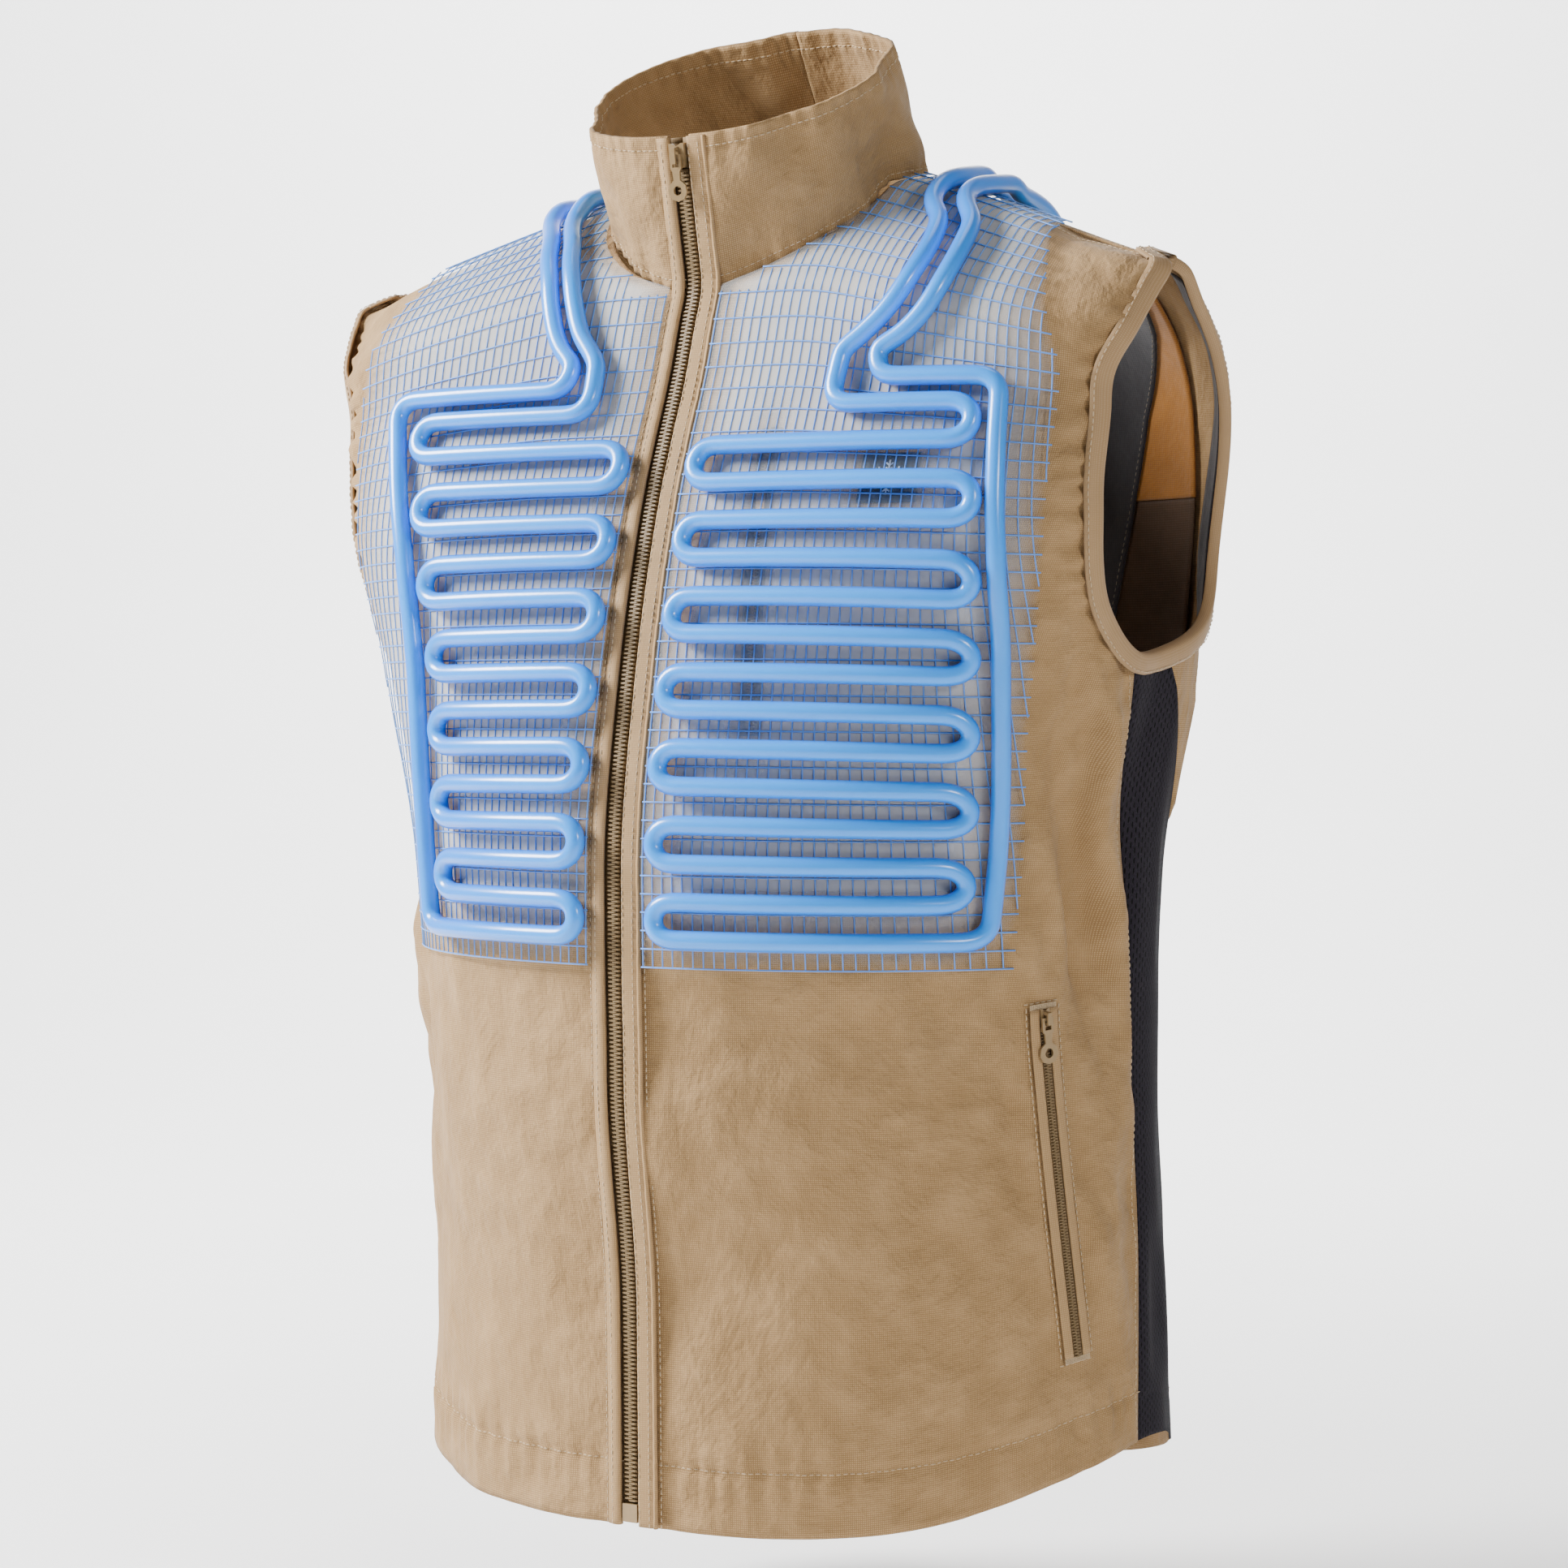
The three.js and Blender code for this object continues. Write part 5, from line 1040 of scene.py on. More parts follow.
# The two hose runs from shoulder to chest: shares of the fall and of the reach
RUNS = {1: ((0.23, 0.615, 0.700), (0.36, 0.680, 0.768), (0.49, 0.700, 0.790), (0.61, 0.682, 0.785),
            (0.71, 0.640, 0.755), (0.80, 0.580, 0.700), (0.87, 0.525, 0.630)),
        -1: ((0.23, 0.522, 0.606), (0.38, 0.437, 0.518), (0.50, 0.388, 0.462), (0.62, 0.350, 0.427),
             (0.74, 0.312, 0.393), (0.82, 0.270, 0.358), (0.88, 0.240, 0.316))}
# The runs behind the shoulder: fall and reach of the inner and of the outer one
BACK_RUNS = ((0.19, 0.585, 0.27, 0.695), (0.30, 0.545, 0.43, 0.670), (0.38, 0.440, 0.53, 0.560),
             (0.40, 0.300, 0.56, 0.400), (0.40, 0.150, 0.56, 0.200), (0.40, 0.002, 0.56, 0.002))
# How far out the rows turn back and where the upright runs
TURNS = {1: (("row", "turn", "edge"), (0.0, 0.910, 0.968), (0.2, 0.935, 0.983), (0.5, 0.905, 0.958),
             (1.0, 0.845, 0.888)),
         -1: (("row", "turn", "edge"), (0.0, 0.815, 0.915), (0.2, 0.740, 0.805), (0.5, 0.641, 0.722),
              (1.0, 0.590, 0.675))}
INNER_TURN = {1: 26, -1: 16}
FIRST_ROW, RETURN_ROW = 129, 116


def rounded(corners, radius):
    """A flat line through corners, each rounded by an arc."""
    line = [corners[0]]
    for before, here, after in zip(corners[:-2], corners[1:-1], corners[2:]):
        a, c = before - here, after - here
        la, lc = np.linalg.norm(a), np.linalg.norm(c)
        a, c = a / la, c / lc
        opened = math.acos(np.clip(a @ c, -1, 1))
        if opened > math.radians(176):
            line.append(here)
            continue
        reach = min(radius / math.tan(opened / 2), la / 2, lc / 2)
        round_ = reach * math.tan(opened / 2)
        centre = here + unit(a + c) * math.hypot(reach, round_)
        start, end = here + a * reach - centre, here + c * reach - centre
        turn = math.atan2(start[0] * end[1] - start[1] * end[0], start @ end)
        for share in np.linspace(0, 1, 9):
            k = turn * share
            line.append(centre + np.array([start[0] * math.cos(k) - start[1] * math.sin(k),
                                           start[0] * math.sin(k) + start[1] * math.cos(k)]))
    return np.array(line + [corners[-1]])


def smooth_table(rows, count):
    """Dense points of a Catmull-Rom line through rows."""
    rows = np.asarray(rows, float)
    padded = np.concatenate([2 * rows[:1] - rows[1:2], rows, 2 * rows[-1:] - rows[-2:-1]])
    out = []
    for i in range(len(rows) - 1):
        a, b, c, d = padded[i:i + 4]
        for u in np.linspace(0, 1, count, endpoint=False):
            out.append(b + 0.5 * u * (c - a + u * (2 * a - 5 * b + 4 * c - d + u * (3 * (b - c) + d - a))))
    return np.array(out + [rows[-1]])


def over_shoulder(side, column):
    """A run from its chest end over the ridge to centre back, as distance out and rise counted over the ridge."""
    front = np.array([(row[column] * HOSE_REACH, -row[0] * HOSE_FALL) for row in RUNS[side]])[::-1]
    rise = spot_across(front[:, 0], front[:, 1])[1]
    rows = list(zip(front[:, 0], rise))
    back = np.array([(row[2 * column - 1] * HOSE_REACH,
                      -row[2 * column - 2] * HOSE_FALL) for row in BACK_RUNS])
    back_rise = 2 - spot_across(back[:, 0], back[:, 1], False)[1]
    rows.append(((front[-1, 0] * 2 + back[0, 0]) / 3, (rise[-1] * 1.2 + back_rise[0] * 0.8) / 2))
    rows += list(zip(back[:, 0], back_rise))
    return smooth_table(rows, 12)


def hose_points(side, lift, back_lift):
    """The hose's middle line in millimetres: over the shoulder, along the rows, up the outer edge and back."""
    turns = curve(TURNS[side])
    level = [-(FIRST_ROW + row * HOSE_PITCH) for row in range(HOSE_ROWS)]
    inner, outer = over_shoulder(side, 1), over_shoulder(side, 2)

    def last_front(run):
        return np.array([run[0][0], body(angle_across(run[0][0], run[0][1]), run[0][1])[2]])

    corners = [last_front(inner) + (0, 6), last_front(inner),
               np.array([last_front(inner)[0] - 2, level[0]])]
    for row in range(HOSE_ROWS - 1):
        end = turns((row + 0.5) / (HOSE_ROWS - 1))["turn"] * HOSE_REACH if row % 2 == 0 else INNER_TURN[side]
        corners += [np.array([end, level[row]]), np.array([end, level[row + 1]])]
    for row in np.linspace(HOSE_ROWS - 1, 0, 9):
        at = level[int(row)] if row > 0 else -RETURN_ROW
        corners.append(np.array([float(turns(row / (HOSE_ROWS - 1))["edge"]) * HOSE_REACH,
                                 -(FIRST_ROW + row * HOSE_PITCH) if row > 0 else at]))
    corners += [np.array([last_front(outer)[0] + 2, -RETURN_ROW]), last_front(outer),
                last_front(outer) + (0, 6)]
    flat = rounded(corners, HOSE_PITCH / 2)
    flat = resampled(np.concatenate([flat, np.zeros((len(flat), 1))], 1), 3.0)[:, :2]
    angle, rise = spot_across(flat[:, 0], flat[:, 1])
    chest = cloth(angle, rise, lift)[0]

    def ridge(run):
        front = run[:, 1] <= 1
        rise_ = np.where(front, run[:, 1], 2 - run[:, 1])
        angle_ = np.where(front, angle_across(run[:, 0], rise_), angle_across(run[:, 0], rise_, False))
        return cloth(angle_, rise_, np.where(run[:, 1] < 1.02, lift, back_lift))[0]

    line = np.concatenate([ridge(inner)[::-1], chest[2:-2], ridge(outer)])
    line = resampled(line, 2.5)
    for _ in range(3):
        line[1:-1] = (line[:-2] + 2 * line[1:-1] + line[2:]) / 4
    line[:, 0] *= side
    return line


def panel_inner(start):
    def at(rise):
        edge = angle_across(start, rise)
        high = np.maximum(rise, NECK_FRONT_RISE)
        angle, turn = neck_at(high)
        beside = angle_across(neck_oval(turn)[0] + 4, rise)
        return np.where(rise < NECK_FRONT_RISE, edge, np.maximum(edge, beside))
    return at


def panel_outer(rise):
    return angle_across(panel_edge(section(rise)["height"])["across"] * PANEL_REACH, rise)


def net_threads(side, start, settings):
    """Lines of the blue net: upright threads a fixed distance from centre front, and threads round the chest."""
    bottom = float(spot_across(start, -PANEL_BOTTOM)[1])
    rises = rows_between(bottom, SEAM_RISE - 0.001, 7)
    inner, outer = panel_inner(start)(rises), panel_outer(rises)
    lines, outs = [], []
    lift = PANEL_LIFT + 0.45
    for across in np.arange(start + 1, PANEL_REACH * 1.02, settings.net_across * 1000):
        angle = angle_across(across, rises)
        keep = (angle > inner) & (angle < outer)
        if keep.sum() > 3:
            place, out = cloth(angle[keep], rises[keep], lift)
            lines.append(place)
            outs.append(out)
    for rise in rows_between(bottom, SEAM_RISE - 0.004, settings.net_up * 1000):
        low, high = float(panel_inner(start)(np.array([rise]))[0]), float(panel_outer(np.array([rise]))[0])
        angle = np.linspace(low, high, 34)
        place, out = cloth(angle, np.full(34, rise), lift + 0.25)
        lines.append(place)
        outs.append(out)
    if side < 0:
        lines = [line * (-1, 1, 1) for line in lines]
        outs = [out * (-1, 1, 1) for out in outs]
    return lines, outs


# ---------------------------------------------------------------- what a user can change


def length_prop(name, text, default, **more):
    return FloatProperty(name=name, description=text, default=default, unit="LENGTH", **more)


def colour_prop(name, text, code):
    return FloatVectorProperty(name=name, description=text, default=linear(code)[:3], subtype="COLOR",
                               size=3)


class VestLook(bpy.types.PropertyGroup):
    """Colours of the vest's cloths, hoses and net."""

    # The tan cloth's darker colour is painted shade, shown where the threads and the broad crinkle lie low
    cloth_light: colour_prop("Cloth, light", "Lighter dye of the tan cloth", "#B79569")
    cloth_shade: colour_prop("Cloth, dark", "Darker dye of the tan cloth", "#896B44")
    mesh_colour: colour_prop("Mesh", "Colour of the side mesh", "#211D24")
    upper_lining: colour_prop("Upper lining", "Colour of the upper lining", "#B5751E")
    lower_lining: colour_prop("Lower lining", "Colour of the lower lining", "#5B4434")
    # The hose's deep colour is painted shade, towards the edges that turn away from view
    hose_light: colour_prop("Hose, light", "Colour of the hoses face on", "#1E9BFF")
    hose_edge_shade: colour_prop("Hose, deep", "Colour of the hoses at their edges", "#0A6ADC")
    net_colour: colour_prop("Net", "Colour of the net threads", "#4A90F0")


class VestSizes(bpy.types.PropertyGroup):
    """Sizes of the cloth's detail, the stitches, the zips and the net."""

    cloth_step: length_prop("Cloth step", "Spacing of the cloth's mesh", 0.0033, min=0.001)
    crease_depth: length_prop("Crease depth", "Depth of the small creases and puckers", 0.0019)
    hem_up: length_prop("Hem stitch", "Height of the hem stitching above the edge", 0.030)
    stitch_pitch: length_prop("Stitch pitch", "Distance from one stitch to the next", 0.0034, min=0.001)
    stitch_length: length_prop("Stitch length", "Length of one stitch", 0.0025)
    stitch_width: length_prop("Stitch width", "Thickness of the thread", 0.0006)
    tooth_pitch: length_prop("Tooth pitch", "Distance between teeth of one side of the front zip", 0.0021,
                             min=0.001)
    coil_pitch: length_prop("Coil pitch", "Distance between turns of the pocket zips", 0.0015, min=0.001)
    net_across: length_prop("Net across", "Spacing of the upright net threads", 0.0052, min=0.002)
    net_up: length_prop("Net up", "Spacing of the level net threads", 0.0086, min=0.002)
    net_thread: length_prop("Net thread", "Thickness of the net threads", 0.0008)
    hose_diameter: length_prop("Hose diameter", "Outer diameter of the hoses", 0.0095)
    hose_sides: IntProperty(name="Hose sides", description="Facets round a hose", default=18, min=6)


# ---------------------------------------------------------------- one operator for each piece


class VestOperator:
    """What all the vest's operators share."""

    bl_options = {"REGISTER", "UNDO"}

    def execute(self, context):
        self.make(context.scene.vest_sizes)
        return {"FINISHED"}


class VEST_OT_finishes(VestOperator, bpy.types.Operator):
    """Makes the materials and gives them to the hard pieces of the frame"""

    bl_idname, bl_label = "vest.finishes", "Finishes"

    def make(self, settings):
        make_finishes(bpy.context.scene.vest_look)
        for name in ("front_zip_slider", "front_zip_pull", "zip_retainer_box", "hand_pocket_slider",
                     "hand_pocket_pull", "chest_pocket_pull"):
            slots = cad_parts[name].data.materials
            finish = FINISH["painted"]
            if len(slots):
                for k in range(len(slots)):
                    slots[k] = finish
            else:
                slots.append(finish)


class VEST_OT_fronts(VestOperator, bpy.types.Operator):
    """Makes the two tan fronts with their folds, creases and hem"""

    bl_idname, bl_label = "vest.fronts", "Fronts"

    def make(self, settings):
        for side, word in ((1, "left"), (-1, "right")):
            piece = shell("front_cloth_" + word, [front_patch(settings, side)], CLOTH, FINISH["tan"])
            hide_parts("front_panel_" + word)
            declare_sheet(piece)


class VEST_OT_back(VestOperator, bpy.types.Operator):
    """Makes the tan back with its yoke, which comes over the shoulders"""

    bl_idname, bl_label = "vest.back", "Back"

    def make(self, settings):
        piece = shell("back_cloth", [half_back(settings, 1), half_back(settings, -1)], CLOTH, FINISH["tan"])
        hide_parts("back_panel")
        declare_sheet(piece)


class VEST_OT_sides(VestOperator, bpy.types.Operator):
    """Makes the black mesh panels under the armholes"""

    bl_idname, bl_label = "vest.sides", "Side mesh"

    def make(self, settings):
        patch = side_patch(settings)
        for word, own in (("left", patch), ("right", mirror(patch))):
            piece = shell("side_mesh_" + word, [own], CLOTH, FINISH["mesh"])
            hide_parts("side_panel_" + word)
            declare_sheet(piece)


class VEST_OT_collar(VestOperator, bpy.types.Operator):
    """Makes the stand collar with its dents and puckered top edge"""

    bl_idname, bl_label = "vest.collar", "Collar"

    def make(self, settings):
        piece = shell("collar_cloth", [collar_patch(settings, 1), collar_patch(settings, -1)], COLLAR_THICK,
                      FINISH["tan"])
        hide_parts("collar")
        declare_sheet(piece)


class VEST_OT_bindings(VestOperator, bpy.types.Operator):
    """Makes the smooth bindings folded over the armhole edges, and the black facings inside"""

    bl_idname, bl_label = "vest.bindings", "Armhole bindings"

    def make(self, settings):
        turns = np.linspace(0, len(ARMHOLE), 300, endpoint=False)
        places = {away: cloth(*armhole(turns, away)) for away in (0, 4, 6.6, BINDING_WIDTH)}
        edge, edge_out = places[0]
        middle, middle_out = places[4]
        later, later_out = places[6.6]
        far, far_out = places[BINDING_WIDTH]
        off = unit(far - edge)
        pucker = 0.22 * np.sin(turns * 12.4) + 0.12 * np.sin(turns * 29.7 + 1)
        over, under = BINDING_GAP + BINDING_THICK, -(CLOTH + BINDING_GAP)
        thick = BINDING_THICK

        def at(place, out, along, high):
            return place + off * along + out * np.asarray(high)[..., None]

        ring = [at(far, far_out, 0.0, BINDING_GAP - 0.9 + 0 * pucker),
                at(far, far_out, 0.0, over - 0.9 + pucker),
                at(later, later_out, 0.0, over + pucker * 0.6),
                at(middle, middle_out, 0.0, over + pucker * 0.3),
                at(edge, edge_out, 0.3, over + 0 * pucker),
                at(edge, edge_out, -BINDING_LIP + 0.3, over - 0.8 + 0 * pucker),
                at(edge, edge_out, -BINDING_LIP, 0 * pucker),
                at(edge, edge_out, -BINDING_LIP, under + 0.8 + 0 * pucker),
                at(edge, edge_out, -BINDING_LIP + 0.5, under + 0 * pucker),
                at(edge, edge_out, -0.5, under + 0 * pucker),
                at(edge, edge_out, -0.5, under + thick + 0 * pucker),
                at(edge, edge_out, -0.5, BINDING_GAP + 0 * pucker),
                at(middle, middle_out, 0.0, BINDING_GAP + 0 * pucker)]
        block = np.stack(ring, 1)
        n, m = block.shape[:2]
        index = np.arange(n * m).reshape(n, m)
        quad = np.stack([index, np.roll(index, -1, 1), np.roll(np.roll(index, -1, 1), -1, 0),
                         np.roll(index, -1, 0)], -1)
        flat = np.stack(np.broadcast_arrays(np.linspace(0, 520, n)[:, None], np.arange(m)[None] * 2.0), -1)
        stitch = np.concatenate([at(later, later_out, 1.0, over + 0.05 + pucker * 0.7), later_out], 1)
        stitch = np.concatenate([stitch, stitch[:1]])
        facing_turns = np.linspace(7.6, 14, 70)
        widths = np.linspace(BINDING_LIP, 16, 7)
        facing = [armhole(facing_turns, w) for w in widths]
        facing = patch_of(np.stack([f[0] for f in facing]), np.stack([f[1] for f in facing]), -2.6)
        for side, word in ((1, "left"), (-1, "right")):
            flip = np.array([side, 1, 1])
            faces = quad.reshape(-1, 4)[:, ::side]
            piece = mesh_object("armhole_binding_cloth_" + word, block.reshape(-1, 3) * flip,
                                faces.tolist(),
                                FINISH["binding"], flat.reshape(-1, 2))
            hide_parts("armhole_binding_" + word)
            thread = stitches("armhole_stitches_" + word, [stitch * np.tile(flip, 2)],
                              settings.stitch_pitch * 1000,
                              settings.stitch_length * 1000, settings.stitch_width * 1000, FINISH["thread"])
            inner = shell("armhole_facing_cloth_" + word, [facing if side > 0 else mirror(facing)], 0.8,
                          FINISH["black"])
            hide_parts("armhole_facing_" + word)


def lap_edge(down):
    """How far out the black lining laps over the coloured ones, at millimetres below the shoulder."""
    return np.interp(down, (62, 80, 120, 160, 200, 250, 330), (188, 184, 166, 155, 147, 139, 128))


class VEST_OT_linings(VestOperator, bpy.types.Operator):
    """Makes the back's black, ochre and brown linings, seen through the armhole"""

    bl_idname, bl_label = "vest.linings", "Linings"

    def make(self, settings):
        def patch(start, end, top, bottom, columns, lift=-2.9, edge=None):
            level = -np.linspace(bottom, top, 60)[:, None]
            across = np.linspace(start, end, columns)[None]
            if start > 0:
                # The outer edge runs on to just short of the facing
                wide = (np.interp(-level, (62, 240, 330), (198, 198, end)) - start) / (end - start)
                across = start + (across - start) * wide
            if edge is not None:
                across = start + (edge(-level) - start) * np.linspace(0, 1, columns)[None]
            angle, rise = spot_across(np.abs(across) + 0 * level, level + 0 * across, False)
            made = patch_of(angle, rise, lift)
            small = 0.35 * noise(across + 0 * level, level + 0 * across, 26, 41, 2.0) - 0.25
            points = made[0] + made[1] * small[..., None]
            sign = np.where(across < 0, -1.0, 1.0)[...,
                                                   None] * np.array([1.0, 0, 0]) + np.array([0, 1.0, 1.0])
            return points * sign, made[1] * sign, np.stack([across + 0 * level, level + 0 * across], -1)

        centre = shell("back_lining_cloth_center", [patch(-112, 112, 62, 330, 60)], 0.8, FINISH["black"])
        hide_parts("back_lining_center")
        declare_sheet(centre)
        lap = patch(112.5, 186, 62, 330, 24, -4.45, lap_edge)
        for side, word in ((1, "left"), (-1, "right")):
            piece = shell("back_lining_lap_" + word, [lap if side > 0 else mirror(lap)], 0.5,
                          FINISH["black"])
            declare_sheet(piece)
            for part, top, bottom, finish, slot in (("upper", 62, 164.5, "ochre", "ochre_lining"),
                                                    ("lower", 165, 330, "brown", "brown_lining")):
                own = patch(112.5, 186, top, bottom, 24)
                piece = shell(f"back_lining_cloth_{part}_{word}", [own if side > 0 else mirror(own)], 0.8,
                              FINISH[finish])
                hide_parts(f"back_lining_{part}_{word}")
                declare_sheet(piece)


class VEST_OT_cooling_panels(VestOperator, bpy.types.Operator):
    """Makes the sheer chest panels and the blue net threads over them"""

    bl_idname, bl_label = "vest.cooling_panels", "Cooling panels"

    def make(self, settings):
        for side, word, start in ((1, "left", 17.0), (-1, "right", 13.5)):
            bottom = float(spot_across(start, -PANEL_BOTTOM)[1])
            rises = rows_between(bottom, SEAM_RISE - 0.001, 5)
            angle, rise = grid_of(rises, 44, panel_inner(start), panel_outer)
            patch = patch_of(angle, rise, PANEL_LIFT + 0.3)
            own = patch if side > 0 else mirror(patch)
            piece = shell("cooling_panel_cloth_" + word, [own], 0.3, FINISH["sheer"])
            veil_of(piece, rises, angle, own)
            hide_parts("cooling_panel_" + word)
            declare_sheet(piece)
            lines, outs = net_threads(side, start, settings)
            net = tubes("cooling_net_" + word, lines, settings.net_thread * 500, 4, FINISH["net"])


def veil_of(piece, rises, angle, patch):
    """Stores how strong the sheer panel shows: full in the middle, fading out at its edges."""
    shares = np.linspace(0, 1, angle.shape[1])
    side = np.clip((1 - shares) * 5, 0, 1)
    foot = np.clip(np.linspace(0, 1, len(rises)) * 10, 0, 1)
    near = np.clip(shares * 9, 0.35, 1)
    strength = side[None] * foot[:, None] * near[None]
    # The panel lies close over the control patch, which shows through clearly
    over = patch[0] - np.array([129.0, 0, -162.0])
    strength = strength * (1 - 0.9 * np.exp(-((over[..., 0] / 22) ** 4) - (over[..., 2] / 18) ** 4))
    # So does the chest pocket's zip, greyed
    share = (-136 - patch[0][..., 2]) / 148
    beside = patch[0][..., 0] - (61 + 9 * np.clip(share, 0, 1))
    strength = strength * (1 - 0.65 * np.exp(-((beside / 9) ** 4) - ((share - 0.5) / 0.56) ** 8))
    layer = piece.data.attributes.new("veil", "FLOAT", "POINT")
    points = patch[0].reshape(-1, 3) * 0.001
    tree = {tuple(np.round(p, 4)): v for p, v in zip(points, strength.reshape(-1))}
    co = np.zeros(len(piece.data.vertices) * 3)
    piece.data.vertices.foreach_get("co", co)
    co = co.reshape(-1, 3)
    half = len(co) // 2
    values = [tree.get(tuple(np.round(p, 4)), 0.8) for p in co[:half]]
    layer.data.foreach_set("value", np.array(values + values, np.float32))


class VEST_OT_hoses(VestOperator, bpy.types.Operator):
    """Makes the two blue coolant hoses"""

    bl_idname, bl_label = "vest.hoses", "Coolant hoses"

    def make(self, settings):
        radius = settings.hose_diameter * 500
        for side, word in ((1, "left"), (-1, "right")):
            line = hose_points(side, PANEL_LIFT + PANEL_THICK + 0.6 + radius, 6.35)
            piece = tubes("coolant_hose_" + word, [line], radius, settings.hose_sides, FINISH["hose"])
            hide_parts("cooling_hose_" + word)


ZIP_BACK = -3.6
ZIP_TOP = CENTRE_END - 4
TOOTH = np.array([(-2.7, -0.42), (-1.2, -0.62), (1.9, -0.5), (2.2, 0), (1.9, 0.5), (-1.2, 0.62),
                  (-2.7, 0.42)])


class VEST_OT_front_zip(VestOperator, bpy.types.Operator):
    """Makes the front zip's tapes, its cord and its moulded teeth"""

    bl_idname, bl_label = "vest.front_zip", "Front zip"

    def make(self, settings):
        for side, word in ((1, "left"), (-1, "right")):
            shape = [(side * 0.15, ZIP_BACK), (side * 11, ZIP_BACK), (side * 11, ZIP_BACK - 0.7),
                     (side * 0.15, ZIP_BACK - 0.7)]
            piece = centre_band("zip_tape_cloth_" + word, shape[::-side], 2, CENTRE_END - 1, FINISH["tape"])
            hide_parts("zip_tape_" + word)
        low, high = 11.5, ZIP_TOP - 12.6
        cord = [(-2.9, ZIP_BACK + 0.3), (2.9, ZIP_BACK + 0.3), (2.9, -0.9), (1.2, -0.5), (-1.2, -0.5),
                (-2.9, -0.9)]
        base = centre_band("zip_cord", cord, low, high, FINISH["tape"])
        pitch = settings.tooth_pitch * 1000
        at = np.arange(low + 1, high - 1, pitch / 2)
        hand = np.where(np.arange(len(at)) % 2 == 0, 1.0, -1.0)
        centres, out, along = centre_at(at, 0.9 * hand, 0 * at)
        side = np.stack([-hand, 0 * at, 0 * at], -1)
        along = along * -hand[:, None]
        teeth = boxes("zip_teeth", centres, (side, along, out), (TOOTH, -0.8, 0.95, 0.72), FINISH["teeth"],
                      bevel=0.35)
        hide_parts("zip_chain")


class VEST_OT_plackets(VestOperator, bpy.types.Operator):
    """Makes the piped band and the rounded fold beside the zip"""

    bl_idname, bl_label = "vest.plackets", "Zip plackets"

    def make(self, settings):
        def soft(lengths, across):
            return 0.22 * noise(lengths, across + 0 * lengths, 16,
                                51) + 0.12 * np.sin(lengths * 2 * np.pi / 9.5)

        band = [(5.0, 0.7), (5.0, 1.2), (5.5, 1.7), (6.6, 1.85), (8.5, 1.75), (10.5, 1.7), (12.4, 1.6),
                (13.3, 1.15),
                (13.7, 1.2), (14.2, 1.9), (14.9, 2.45), (15.6, 2.3), (16.0, 1.6), (16.0, 0.7)]
        fold = [(5.0, 0.7), (5.0, 1.6), (5.3, 2.2), (6.0, 2.6), (7.4, 2.75), (9.0, 2.6), (9.9, 2.1),
                (10.6, 1.75),
                (11.6, 1.5), (12.4, 1.1), (12.5, 0.7)]
        for word, shape, sign in (("left", band, 1), ("right", fold, -1)):
            shape = [(sign * a, b) for a, b in shape][::-sign]
            piece = centre_band("placket_cloth_" + word, shape, 0.4, CENTRE_END - 0.4, FINISH["trim"],
                                wave=soft)
            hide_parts("placket_" + word)


def line_frames(angle, rise, lift=0.0):
    """Places, directions and normals along a line of spots."""
    place, out = cloth(angle, rise, lift)
    along = unit(np.gradient(place, axis=0))
    out = unit(out - along * (out * along).sum(-1, keepdims=True))
    return place, along, out, np.cross(out, along)


def band_on(name, frames, shape, finish, body_name=SHELL):
    """A band of constant section along frames."""
    place, along, out, side = frames
    block = np.stack([place + side * a + out * b for a, b in shape], 1)
    n, m = block.shape[:2]
    index = np.arange(n * m).reshape(n, m)
    quad = np.stack([index[:-1], np.roll(index, -1, 1)[:-1], np.roll(index, -1, 1)[1:], index[1:]], -1)
    faces = quad.reshape(-1, 4).tolist() + [index[0][::-1].tolist(), index[-1].tolist()]
    length = np.concatenate([[0], np.cumsum(np.linalg.norm(np.diff(place, axis=0), axis=1))])
    round_ = np.concatenate([[0], np.cumsum(np.hypot(*np.diff(np.array(shape), axis=0).T))])
    flat = np.stack(np.broadcast_arrays(round_[None], length[:, None]), -1)
    return mesh_object(name, block.reshape(-1, 3), faces, finish, flat.reshape(-1, 2), body_name=body_name)


def coil_teeth(name, frames, pitch, half, low, high, finish):
    """Small teeth of a coil zip, alternating from both sides."""
    place, along, out, side = frames
    rows = resampled(np.concatenate([place, along, out, side], 1), pitch / 2)
    hand = np.where(np.arange(len(rows)) % 2 == 0, 1.0, -1.0)[:, None]
    centres = rows[:, :3] + rows[:, 9:12] * hand * half * 0.35
    outline = np.array([(-0.62 * half, -0.2 * pitch), (0.6 * half, -0.24 * pitch), (0.75 * half, 0),
                        (0.6 * half, 0.24 * pitch), (-0.62 * half, 0.2 * pitch)])
    axes = (-unit(rows[:, 9:12]) * hand, -unit(rows[:, 3:6]) * hand, unit(rows[:, 6:9]))
    return boxes(name, centres, axes, (outline, low, high, 0.7), finish, bevel=0.4)


